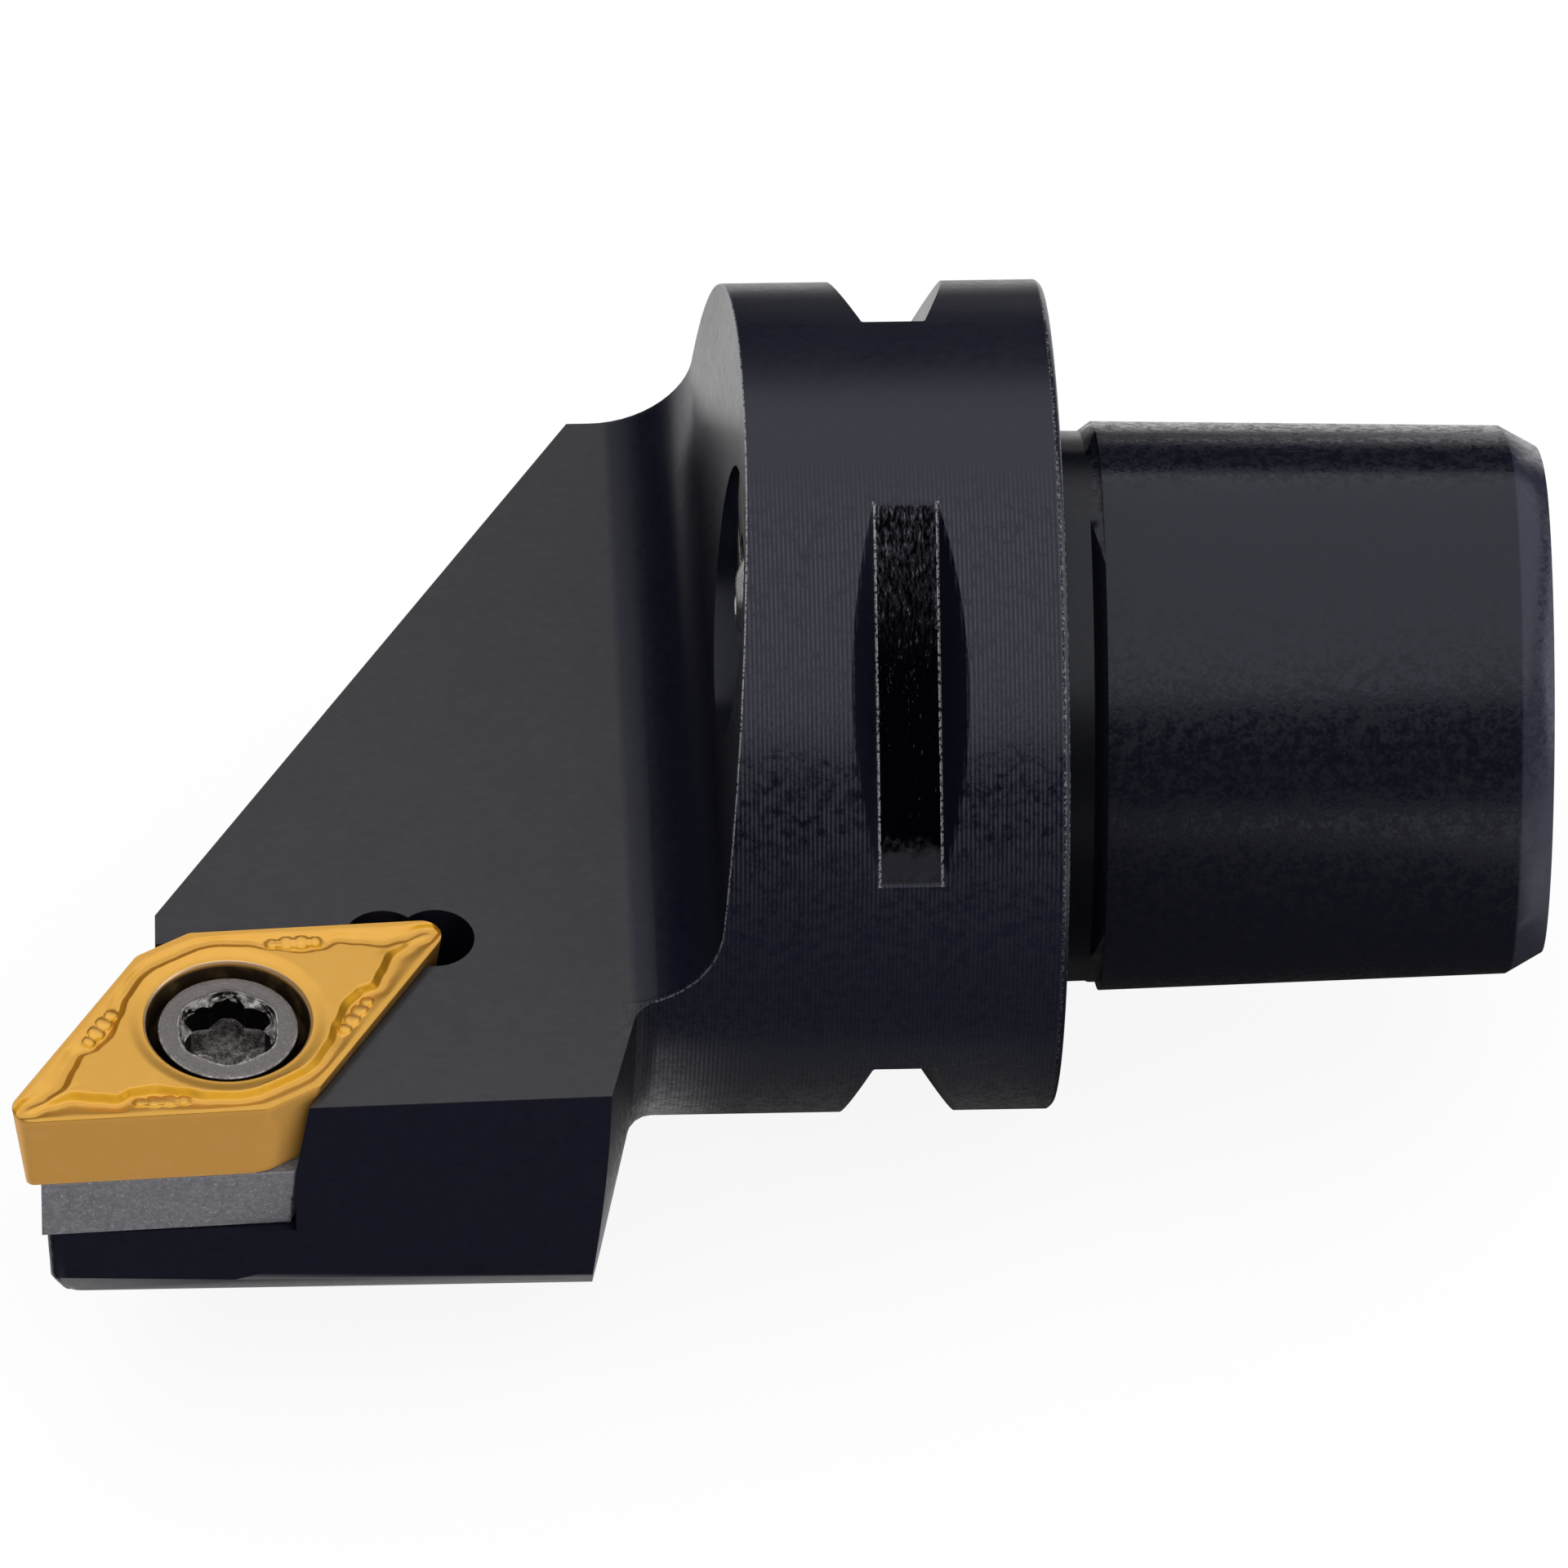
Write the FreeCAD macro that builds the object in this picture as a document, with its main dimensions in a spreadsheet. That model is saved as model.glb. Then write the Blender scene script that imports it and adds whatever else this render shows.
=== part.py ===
# Turning tool holder with a tapered polygon shank, a screwed-on insert and a shim.
# Frame: X is the tool axis, + towards the shank end; Z is up, square to the rake face;
# the origin is where the axis meets the flange face that seats on the machine.
# All lengths are millimetres and all angles degrees.

import FreeCAD, Part

import math
import os
import re

import Sketcher
from FreeCAD import Vector

doc = FreeCAD.newDocument("TurningToolHolder")

# Driving dimensions: name, value, what it is
dimensions = [
    ("flange_diameter", 32, "gripper flange"),
    ("flange_rim_chamfer", 0.2, "broken edge at the contact face"),
    ("groove_place", 6.0, "gripper groove centre, from the contact face"),
    ("groove_floor", 2.4, "flat at the bottom of a gripper groove"),
    ("groove_depth", 1.75, "gripper groove depth"),
    ("groove_flank_angle", 30, "slope of each groove flank"),
    ("groove_first_angle", 45, "first groove, turned about the tool axis"),
    ("groove_count", 4, "gripper grooves round the flange"),
    ("polygon_width", 22, "constant width of the polygon at the contact face"),
    ("polygon_lobe", 0.7, "how far each lobe stands out and each side stands in"),
    ("polygon_taper", 20, "length over which the width shrinks by one"),
    ("shank_length", 18.9, "polygon shank"),
    ("shank_lead_length", 1.4, "lead-in chamfer, along the axis"),
    ("shank_lead_height", 0.75, "lead-in chamfer, across the axis"),
    ("neck_length", 1.3, "relief between flange and polygon"),
    ("neck_ramp", 0.5, "slope out of the relief"),
    ("neck_depth", 0.38, "relief below the polygon"),
    ("neck_diameter", 22.3, "turned relief that clears the lobes"),
    ("bore_diameter", 15, "bore of the shank"),
    ("bore_lead", 0.8, "chamfer at the mouth of the bore"),
    ("clamp_groove_diameter", 17.4, "groove that the clamping segments pull on"),
    ("clamp_groove_place", 6.2, "groove start, from the shank end"),
    ("clamp_groove_floor", 3.0, "flat of the clamping groove"),
    ("clamp_shoulder_angle", 30, "slope of the pulling shoulder, from the axis"),
    ("pull_thread_minor", 10.4, "minor diameter of the M12 x 1.5 centre thread"),
    ("pull_thread_depth", 10, "centre thread, from the contact face"),
    ("drill_point_angle", 118, "point of a twist drill"),
    ("shoulder_place", 16.26, "foot of the head's shoulder, from the contact face"),
    ("shoulder_angle", 14, "slope of the turned shoulder"),
    ("shoulder_fillet", 1.0, "fillet at the shoulder's foot"),
    ("head_margin", 1.03, "turned head block beyond the nose, on the radius"),
    ("head_stock", 1.0, "turned blank beyond the nose, along the axis"),
    ("underside_tilt", 14.6, "slope of the flat under the head block"),
    ("rake_drop", 0.5, "head top below the cutting edge"),
    ("wall_place", 13.356, "chip wall from the contact face, at the cutting edge height"),
    ("wall_lean", 5, "lean of the chip wall"),
    ("wall_fillet", 4.0, "fillet between chip wall and head top"),
    ("slant_angle", 58.2, "slanted front of the head, from the axis"),
    ("front_setback", 5.52, "front face of the head, behind the nose"),
    ("front_side_inset", 11.27, "where that face meets the slanted front, in from the nose"),
    ("flank_inset", 1.9, "side of the head at the contact face, in from the nose"),
    ("flank_angle", 1.8, "side of the head, from the axis"),
    ("functional_length", 40, "contact face to the outermost point of the nose"),
    ("functional_width", 22, "axis to the outermost point of the nose"),
    ("inscribed_circle", 9.525, "insert size"),
    ("point_angle", 55, "acute angle of the insert"),
    ("nose_radius", 0.8, "insert nose"),
    ("clearance_angle", 7, "slope of the insert's sides"),
    ("insert_thickness", 3.97, "insert"),
    ("obtuse_radius", 4.0, "rounded obtuse corners of the insert"),
    ("edge_angle", 3, "main cutting edge, from the axis"),
    ("insert_hole", 4.4, "hole through the insert"),
    ("insert_sink", 6.3, "mouth of the insert's sunk hole"),
    ("insert_sink_angle", 53, "cone of the sunk hole"),
    ("shim_thickness", 3.18, "shim"),
    ("shim_nose_radius", 0.45, "rounded acute corners of the shim, at its top"),
    ("shim_setback", 1.05, "upright trim of the shim's outer corner, behind the nose"),
    ("pocket_clearance", 0.04, "insert and shim to the pocket walls"),
    ("support_side_inset", 0.4, "side face under the shim, in from the nose"),
    ("support_lean", 4, "how far that face leans in, going down"),
    ("support_inset", 0.89, "upright end face under the shim, in from the insert's end edge"),
    ("support_corner", 0.3, "rounded corner under the insert's nose"),
    ("relief_setback", 8.3, "end of the side face under the shim, behind the nose"),
    ("relief_cutter", 5, "radius of the cutter that makes that face"),
    ("relief_turn", 30, "how far the cutter's round end turns"),
    ("corner_drill", 3.0, "drilled relief at the inner corner of the pocket"),
    ("corner_drill_inset", 1.08, "first drill centre, in from the insert's corner"),
    ("corner_drill_step", 2.0, "second drill centre, from the first"),
    ("corner_drill_depth", 0.6, "drilled relief below the seat"),
    ("screw_diameter", 3.5, "insert screw, M3.5 x 0.6"),
    ("screw_head_diameter", 5.25, "insert screw head"),
    ("screw_head_drop", 0.4, "screw head below the cutting edge"),
    ("screw_head_rim", 0.45, "straight rim of the screw head"),
    ("screw_length", 10.0, "insert screw, over all"),
    ("screw_tip", 0.4, "chamfer at the screw's tip"),
    ("screw_clearance", 0.05, "running clearance of the screws, on the radius"),
    ("socket_circle", 2.5, "circle of the six socket lobes"),
    ("socket_lobe", 0.85, "diameter of a socket lobe"),
    ("socket_depth", 1.4, "socket of the insert screw"),
    ("shim_screw_diameter", 5.0, "shim screw, M5 x 0.5"),
    ("shim_screw_head", 6.2, "shim screw head"),
    ("shim_screw_head_rim", 1.1, "straight rim of the shim screw head"),
    ("shim_screw_drop", 0.08, "shim screw head below the top of the shim"),
    ("shim_screw_length", 7.6, "shim screw, over all"),
    ("shim_screw_key", 3.6, "hexagon socket of the shim screw, across flats"),
    ("shim_screw_key_depth", 1.8, "depth of the hexagon socket"),
    ("nozzle_side", -4.2, "coolant nozzle from the axis, along Y"),
    ("nozzle_drop", 6.55, "coolant nozzle below the top of the flange"),
    ("nozzle_bore", 10.2, "bore for the nozzle ring"),
    ("nozzle_bore_floor", 9.2, "floor of the nozzle bore, from the contact face"),
    ("nozzle_chamber", 6.26, "chamber behind the ball"),
    ("nozzle_chamber_floor", 6.48, "floor of the chamber, from the contact face"),
    ("nozzle_ring_front", 12.0, "front of the nozzle ring, from the contact face"),
    ("nozzle_ring_clearance", 0.02, "ring to its bore, on the radius"),
    ("ring_mouth", 5.0, "front opening of the nozzle ring"),
    ("ring_slot_width", 1.0, "key slots of the nozzle ring"),
    ("ring_slot_depth", 0.8, "key slots of the nozzle ring"),
    ("ball_diameter", 6.0, "nozzle ball"),
    ("ball_place", 9.4, "ball centre, from the contact face"),
    ("ball_clearance", 0.05, "ball to its seats"),
    ("jet_diameter", 1.5, "jet hole through the ball"),
    ("jet_inlet", 2.6, "mouth of the jet hole at the back of the ball"),
    ("seal_section", 0.9, "width of the seal, on the radius"),
    ("seal_clearance", 0.02, "seal to the walls of its chamber"),
    ("coolant_drill", 2.4, "passage from the centre bore to the chamber"),
    ("coolant_drill_end", 4.0, "where the passage meets the centre bore, along the axis"),
]

sheet = doc.addObject("Spreadsheet::Sheet", "Sizes")
for row, (alias, number, note) in enumerate(dimensions, 1):
    sheet.set(f"A{row}", note)
    sheet.set(f"B{row}", str(number))
    sheet.setAlias(f"B{row}", alias)
doc.recompute()

# Places that follow from the dimensions, as expressions; each is measured from the
# contact face or the tool axis
places = {
    "head_diameter": "(2 * (functional_width + head_margin))",
    "head_reach": "(functional_length + head_stock)",
    "front_place": "(functional_length - front_setback)",
    "front_side": "(functional_width - front_side_inset)",
    "flank_place": "(functional_width - flank_inset)",
    "support_side": "(functional_width - support_side_inset)",
    "relief_stop": "(functional_length - relief_setback)",
    "shim_front": "(functional_length - shim_setback)",
    "nozzle_height": "(flange_diameter / 2 - nozzle_drop)",
}
place_names = re.compile(r"\b(" + "|".join(places) + r")\b")
aliases = re.compile(r"\b(" + "|".join(alias for alias, number, note in dimensions) + r")\b")


def linked(text):
    """Expression text with each name pointing at its cell of the sheet."""
    spelled_out = place_names.sub(lambda found: places[found.group(1)], text)
    return aliases.sub(r"Sizes.\1", spelled_out)


def value(text):
    """What an expression is worth now."""
    return float(sheet.evalExpression(linked(text)))


def bind(thing, prop, text):
    thing.setExpression(prop, linked(text))


# Places that several pieces share, as expressions
half_point = "(point_angle / 2)"
long_axis_angle = f"(edge_angle + {half_point})"
end_edge_angle = "(edge_angle + point_angle)"
corner_reach = f"(inscribed_circle / 2 / sin{half_point})"
nose_to_centre = f"((inscribed_circle / 2 - nose_radius) / sin{half_point})"
insert_x = f"(-functional_length + nose_radius + {nose_to_centre} * cos{long_axis_angle})"
insert_y = f"(-functional_width + nose_radius + {nose_to_centre} * sin{long_axis_angle})"
shim_top = "(-insert_thickness)"
seat_height = "(-insert_thickness - shim_thickness)"
side_slope = "tan(clearance_angle)"


def place_text(x, y, z, yaw="0", pitch="0", roll="0"):
    """Placement expression from a position and turns about Z, Y and X."""
    position = f"create(<<vector>>; {x}; {y}; {z})"
    turn = f"create(<<rotation>>; {yaw}; {pitch}; {roll})"
    return f"create(<<placement>>; {position}; {turn})"


insert_frame = place_text(insert_x, insert_y, "0", long_axis_angle)


def new_body(name):
    body = doc.addObject("PartDesign::Body", name)
    body.Label = name
    return body


def origin_item(body, role):
    return next(item for item in body.Origin.OriginFeatures if item.Role == role)


def new_sketch(body, name, plane, offset=None):
    """Empty sketch on one of the body's own planes, moved by a placement expression."""
    sketch = body.newObject("Sketcher::SketchObject", name)
    sketch.AttachmentSupport = [(origin_item(body, plane), "")]
    sketch.MapMode = "FlatFace"
    if offset:
        bind(sketch, "AttachmentOffset", offset)
    doc.recompute()
    return sketch


def pin(sketch, kind, text, *where):
    """Driving constraint whose value follows an expression."""
    index = sketch.addConstraint(Sketcher.Constraint(kind, *where, value(text)))
    bind(sketch, f"Constraints[{index}]", text)


def pin_point(sketch, line, end, x, y):
    pin(sketch, "DistanceX", x, -1, 1, line, end)
    pin(sketch, "DistanceY", y, -1, 1, line, end)


def add_outline(sketch, corners):
    """Closed loop of straight lines through corners given as pairs of expressions."""
    points = [Vector(value(x), value(y), 0) for x, y in corners]
    count = len(points)
    first = sketch.GeometryCount
    for step in range(count):
        sketch.addGeometry(Part.LineSegment(points[step], points[(step + 1) % count]))
    for step in range(count):
        following = first + (step + 1) % count
        sketch.addConstraint(Sketcher.Constraint("Coincident", first + step, 2, following, 1))
    for step, (x, y) in enumerate(corners):
        pin_point(sketch, first + step, 1, x, y)
    return first


def add_circle(sketch, x, y, diameter):
    circle = Part.Circle(Vector(value(x), value(y), 0), Vector(0, 0, 1), value(diameter) / 2)
    index = sketch.addGeometry(circle)
    pin_point(sketch, index, 3, x, y)
    pin(sketch, "Diameter", diameter, index)


def pocket(body, name, sketch, depth=None, both_ways=False, taper=None):
    """Cut a sketch into the body against its normal, and make sure that it cuts."""
    before = body.Shape.Volume
    feature = body.newObject("PartDesign::Pocket", name)
    feature.Profile = sketch
    if both_ways:
        feature.SideType = "Symmetric"
    if depth:
        feature.Type = "Length"
        bind(feature, "Length", depth)
    else:
        feature.Type = "ThroughAll"
    if taper:
        bind(feature, "TaperAngle", taper)
    doc.recompute()
    if not body.Shape.Volume < before - 1e-6:
        raise RuntimeError(f"{name} cuts nothing")
    return feature


def revolve(body, name, sketch, axis="H_Axis"):
    feature = body.newObject("PartDesign::Revolution", name)
    feature.Profile = sketch
    feature.ReferenceAxis = (sketch, [axis])
    feature.Angle = 360
    doc.recompute()
    return feature


def pad(body, name, sketch, length, taper=None, downwards=False):
    feature = body.newObject("PartDesign::Pad", name)
    feature.Profile = sketch
    bind(feature, "Length", length)
    if taper:
        bind(feature, "TaperAngle", taper)
    feature.Reversed = downwards
    doc.recompute()
    return feature


def dress(body, kind, name, edges, prop, text):
    """Fillet or chamfer of the tip's edges for which a test holds."""
    base = body.Tip
    found = [f"Edge{n}" for n, edge in enumerate(base.Shape.Edges, 1) if edges(edge)]
    if not found:
        raise RuntimeError(f"{name} finds no edge")
    feature = body.newObject(kind, name)
    feature.Base = (base, found)
    bind(feature, prop, text)
    doc.recompute()
    return feature


def polar_pattern(body, name, feature, axis, count):
    pattern = body.newObject("PartDesign::PolarPattern", name)
    pattern.Originals = [feature]
    pattern.Axis = (origin_item(body, axis), [""])
    pattern.Angle = 360
    bind(pattern, "Occurrences", count)
    body.Tip = pattern
    doc.recompute()
    return pattern


# Head and flange: turned blank, then the milled faces
head = new_body("head")


def turned_blank():
    flange = "flange_diameter / 2"
    block = "head_diameter / 2"
    rise = "(head_diameter - flange_diameter) / 2 * tan(shoulder_angle)"
    sketch = new_sketch(head, "blank_profile", "XZ_Plane")
    add_outline(sketch, [
        ("0", "0"),
        ("0", f"{flange} - flange_rim_chamfer"),
        ("-flange_rim_chamfer", flange),
        ("-shoulder_place", flange),
        (f"-shoulder_place - {rise}", block),
        ("-head_reach", block),
        ("-head_reach", "0"),
    ])
    revolve(head, "turned_blank", sketch)

    def foot(edge):
        box = edge.BoundBox
        return (abs(box.XMin + value("shoulder_place")) < 0.01 and box.XLength < 0.01
                and abs(box.YLength - value("flange_diameter")) < 0.01)
    dress(head, "PartDesign::Fillet", "shoulder_fillet", foot, "Radius", "shoulder_fillet")


def side_cut():
    """Leave the neck's cylinder and, on one side of it, the head block."""
    radius = value("flange_diameter / 2")
    tilt = math.radians(value("underside_tilt"))
    tangent = Vector(-radius * math.sin(tilt), -radius * math.cos(tilt), 0)
    sketch = new_sketch(head, "side_profile", "YZ_Plane",
                        place_text("0", "0", "-flange_diameter / 2 + 1.5"))
    add_outline(sketch, [
        ("-head_diameter", "-head_diameter"), ("head_diameter", "-head_diameter"),
        ("head_diameter", "head_diameter"), ("-head_diameter", "head_diameter"),
    ])
    arc = Part.ArcOfCircle(Part.Circle(Vector(0, 0, 0), Vector(0, 0, 1), radius),
                           math.atan2(tangent.y, tangent.x), math.pi / 2)
    first = sketch.addGeometry(arc)
    reach = "(head_diameter * 0.6)"
    corners = [
        ("0", "flange_diameter / 2"),
        (f"-{reach}", "flange_diameter / 2"),
        (f"-{reach}", f"-(flange_diameter / 2 - {reach} * sin(underside_tilt)) / cos(underside_tilt)"),
        ("-flange_diameter / 2 * sin(underside_tilt)", "-flange_diameter / 2 * cos(underside_tilt)"),
    ]
    points = [Vector(value(x), value(y), 0) for x, y in corners]
    for start, end in zip(points, points[1:]):
        sketch.addGeometry(Part.LineSegment(start, end))
    sketch.addConstraint(Sketcher.Constraint("Coincident", first, 3, -1, 1))
    pin(sketch, "Radius", "flange_diameter / 2", first)
    sketch.addConstraint(Sketcher.Constraint("Coincident", first, 2, first + 1, 1))
    sketch.addConstraint(Sketcher.Constraint("Coincident", first + 1, 2, first + 2, 1))
    sketch.addConstraint(Sketcher.Constraint("Coincident", first + 2, 2, first + 3, 1))
    sketch.addConstraint(Sketcher.Constraint("Coincident", first + 3, 2, first, 1))
    sketch.addConstraint(Sketcher.Constraint("PointOnObject", first, 2, -2))
    pin_point(sketch, first + 2, 1, *corners[1])
    pin_point(sketch, first + 3, 1, *corners[2])
    pin(sketch, "DistanceX", corners[3][0], -1, 1, first, 1)
    pocket(head, "side_cut", sketch)


def rake_cut():
    """Flat top of the head and the leaning chip wall above it, with the fillet between."""
    top = "(-rake_drop)"
    above = "flange_diameter"
    start = "(-head_reach - 5)"
    centre_z = f"({top} + wall_fillet)"
    up_wall = f"(({centre_z} - wall_fillet * sin(wall_lean)) / cos(wall_lean))"
    centre_x = f"(-wall_place + {up_wall} * sin(wall_lean) - wall_fillet * cos(wall_lean))"
    corners = [
        (start, top),
        (centre_x, top),
        (f"{centre_x} + wall_fillet * cos(wall_lean)", f"{centre_z} - wall_fillet * sin(wall_lean)"),
        (f"-wall_place + {above} * tan(wall_lean)", above),
        (start, above),
    ]
    points = [Vector(value(x), value(y), 0) for x, y in corners]
    circle = Part.Circle(Vector(value(centre_x), value(centre_z), 0), Vector(0, 0, 1),
                         value("wall_fillet"))
    sketch = new_sketch(head, "rake_profile", "XZ_Plane")
    sketch.addGeometry(Part.LineSegment(points[0], points[1]))
    sketch.addGeometry(Part.ArcOfCircle(circle, -math.pi / 2, -math.radians(value("wall_lean"))))
    sketch.addGeometry(Part.LineSegment(points[2], points[3]))
    sketch.addGeometry(Part.LineSegment(points[3], points[4]))
    sketch.addGeometry(Part.LineSegment(points[4], points[0]))
    for piece in range(5):
        sketch.addConstraint(Sketcher.Constraint("Coincident", piece, 2, (piece + 1) % 5, 1))
    for line, end, corner in ((0, 1, 0), (0, 2, 1), (2, 1, 2), (2, 2, 3), (3, 2, 4)):
        pin_point(sketch, line, end, *corners[corner])
    pin(sketch, "Radius", "wall_fillet", 1)
    pocket(head, "rake_cut", sketch, both_ways=True)


def front_cut():
    """Slanted front and the short square face beside the insert."""
    beyond = "(head_diameter * 0.75)"
    run = f"(({beyond} + front_side) / tan(slant_angle))"
    sketch = new_sketch(head, "front_profile", "XY_Plane")
    add_outline(sketch, [
        ("-front_place", "-front_side"),
        (f"-front_place + {run}", beyond),
        ("-head_reach * 1.4", beyond),
        ("-head_reach * 1.4", "-front_side"),
    ])
    pocket(head, "front_cut", sketch, both_ways=True)


def flank_cut():
    line = "(-flank_place - {0} * tan(flank_angle))"
    sketch = new_sketch(head, "flank_profile", "XY_Plane")
    add_outline(sketch, [
        ("0", line.format("0")),
        ("-head_reach * 1.4", line.format("head_reach * 1.4")),
        ("-head_reach * 1.4", "-head_diameter"),
        ("0", "-head_diameter"),
    ])
    pocket(head, "flank_cut", sketch, both_ways=True)


def support_cut():
    """Faces under the shim: the side one leans in, the end one is upright."""
    tip_x = f"({insert_x} - {corner_reach} * cos{long_axis_angle})"
    tip_y = f"({insert_y} - {corner_reach} * sin{long_axis_angle})"
    stop_y = "(-support_side + (functional_length - relief_stop) * tan(flank_angle))"
    along = "(relief_cutter * sin(relief_turn))"
    away = "(relief_cutter * (1 - cos(relief_turn)))"
    past_nose = "(functional_length * 1.2)"
    sketch = new_sketch(head, "side_relief_profile", "XY_Plane")
    add_outline(sketch, [
        (f"-{past_nose}", f"-support_side + (functional_length - {past_nose}) * tan(flank_angle)"),
        ("-relief_stop", stop_y),
        (f"-relief_stop + {along}", f"{stop_y} - {away}"),
        (f"-relief_stop + {along} * 2", "-head_diameter"),
        (f"-{past_nose}", "-head_diameter"),
    ])
    pocket(head, "side_relief", sketch, depth="flange_diameter", taper="support_lean")

    end_x = f"({tip_x} + support_inset * sin{end_edge_angle})"
    end_y = f"({tip_y} - support_inset * cos{end_edge_angle})"
    foot_y = f"({end_y} - inscribed_circle / 2 * sin{end_edge_angle})"
    sketch = new_sketch(head, "end_relief_profile", "XY_Plane")
    add_outline(sketch, [
        (f"{end_x} - inscribed_circle / 2 * cos{end_edge_angle}", foot_y),
        ("-front_place", f"{end_y} + (-front_place - {end_x}) * tan{end_edge_angle}"),
        ("-front_place", "-front_side + 2"),
        (f"-{past_nose}", "-front_side + 2"),
        (f"-{past_nose}", foot_y),
    ])
    pocket(head, "end_relief", sketch, depth="flange_diameter")


def pocket_outline(sketch, inset):
    """Open-sided pocket: inner corner and two walls, in the insert's own frame."""
    reach = f"({corner_reach} - ({inset}) / sin{half_point})"
    wall = f"({corner_reach} * 1.9)"
    add_outline(sketch, [
        (reach, "0"),
        (f"{reach} - {wall} * cos{half_point}", f"{wall} * sin{half_point}"),
        (f"-{corner_reach} * 3", "0"),
        (f"{reach} - {wall} * cos{half_point}", f"-{wall} * sin{half_point}"),
    ])


def insert_pocket():
    """Walls that follow the insert's sloped sides, then upright ones beside the shim."""
    sketch = new_sketch(head, "insert_pocket_profile", "XY_Plane", insert_frame)
    pocket_outline(sketch, "-pocket_clearance")
    pocket(head, "insert_pocket", sketch, depth="insert_thickness", taper="-clearance_angle")
    sketch = new_sketch(head, "shim_pocket_profile", "XY_Plane", insert_frame)
    pocket_outline(sketch, f"insert_thickness * {side_slope} - pocket_clearance")
    pocket(head, "shim_pocket", sketch, depth="insert_thickness + shim_thickness")

    def under_nose(edge):
        box = edge.BoundBox
        return box.ZLength > 1.5 and box.XMax < -value("functional_length") + 3 and box.XLength < 1
    dress(head, "PartDesign::Fillet", "support_corner", under_nose, "Radius", "support_corner")


def corner_drills():
    drill = f"({corner_reach} - corner_drill_inset)"
    sketch = new_sketch(head, "corner_drill_profile", "XY_Plane", insert_frame)
    add_circle(sketch, drill, "0", "corner_drill")
    pocket(head, "corner_drill", sketch,
           depth="insert_thickness + shim_thickness + corner_drill_depth")
    sketch = new_sketch(head, "second_drill_profile", "XY_Plane", insert_frame)
    add_circle(sketch, f"{drill} - corner_drill_step * cos{long_axis_angle}",
               f"corner_drill_step * sin{long_axis_angle}", "corner_drill")
    pocket(head, "second_corner_drill", sketch,
           depth="insert_thickness + shim_thickness + corner_drill_depth")


def shim_screw_hole():
    sketch = new_sketch(head, "shim_screw_hole_profile", "XY_Plane", insert_frame)
    add_circle(sketch, "0", "0", "shim_screw_diameter + 2 * screw_clearance")
    pocket(head, "shim_screw_hole", sketch)


def gripper_grooves():
    floor = "(flange_diameter / 2 - groove_depth)"
    top = "(flange_diameter / 2 + 1)"
    spread = "(groove_floor / 2 + (groove_depth + 1) * tan(groove_flank_angle))"
    sketch = new_sketch(head, "groove_profile", "XY_Plane",
                        place_text("0", "0", "0", roll="groove_first_angle"))
    add_outline(sketch, [
        ("-groove_place - groove_floor / 2", floor),
        ("-groove_place + groove_floor / 2", floor),
        (f"-groove_place + {spread}", top),
        (f"-groove_place - {spread}", top),
    ])
    groove = pocket(head, "gripper_groove", sketch, depth="flange_diameter", both_ways=True)
    before = head.Shape.Volume
    polar_pattern(head, "gripper_grooves", groove, "X_Axis", "groove_count")
    if not head.Shape.Volume < before:
        raise RuntimeError("the groove pattern cuts nothing")


def nozzle_bores():
    sketch = new_sketch(head, "nozzle_bore_profile", "YZ_Plane",
                        place_text("0", "0", "-nozzle_bore_floor"))
    add_circle(sketch, "nozzle_side", "nozzle_height", "nozzle_bore")
    pocket(head, "nozzle_bore", sketch, depth="head_reach")
    sketch = new_sketch(head, "nozzle_chamber_profile", "YZ_Plane",
                        place_text("0", "0", "-nozzle_chamber_floor"))
    add_circle(sketch, "nozzle_side", "nozzle_height", "nozzle_chamber")
    pocket(head, "nozzle_chamber", sketch, depth="nozzle_bore_floor - nozzle_chamber_floor + 1")


for step in (turned_blank, side_cut, rake_cut, front_cut, flank_cut, support_cut, insert_pocket,
             corner_drills, shim_screw_hole, gripper_grooves, nozzle_bores):
    step()
    print(step.__name__, round(head.Shape.Volume, 1), head.Shape.isValid(), flush=True)


def polygon_section(place, offset):
    """Closed curve of constant width; its lobes stand at 90, 210 and 330 degrees about X."""
    mean = value("polygon_width") / 2 - place / value("polygon_taper") / 2 - offset
    lobe = value("polygon_lobe")
    count = 72
    points = []
    for step in range(count):
        angle = 2 * math.pi * step / count
        support = mean + lobe * math.cos(3 * (angle - math.pi / 2))
        slope = -3 * lobe * math.sin(3 * (angle - math.pi / 2))
        points.append(Vector(place,
                             support * math.cos(angle) - slope * math.sin(angle),
                             support * math.sin(angle) + slope * math.cos(angle)))
    curve = Part.BSplineCurve()
    curve.interpolate(points, PeriodicFlag=True)
    return Part.Wire(curve.toShape())


def polygon_shank():
    """Tapered polygon with its relieved neck and its lead-in; a formula, so no sketch fits."""
    end = value("shank_length")
    neck = value("neck_length")
    ramp = neck + value("neck_ramp")
    depth = value("neck_depth")
    stations = [
        (0, depth), (neck, depth), (ramp, 0),
        (end - value("shank_lead_length"), 0), (end, value("shank_lead_height")),
    ]
    spans = []
    for (start, inset), (stop, next_inset) in zip(stations, stations[1:]):
        wires = [polygon_section(start, inset), polygon_section(stop, next_inset)]
        spans.append(Part.makeLoft(wires, True, True))
    solid = spans[0].fuse(spans[1:])
    clear = Part.makeCylinder(value("flange_diameter / 2"), ramp, Vector(0, 0, 0), Vector(1, 0, 0))
    core = Part.makeCylinder(value("neck_diameter / 2"), ramp, Vector(0, 0, 0), Vector(1, 0, 0))
    feature = doc.addObject("Part::Feature", "polygon_shank")
    feature.Shape = solid.cut(clear.cut(core)).Solids[0]
    return feature


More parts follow.
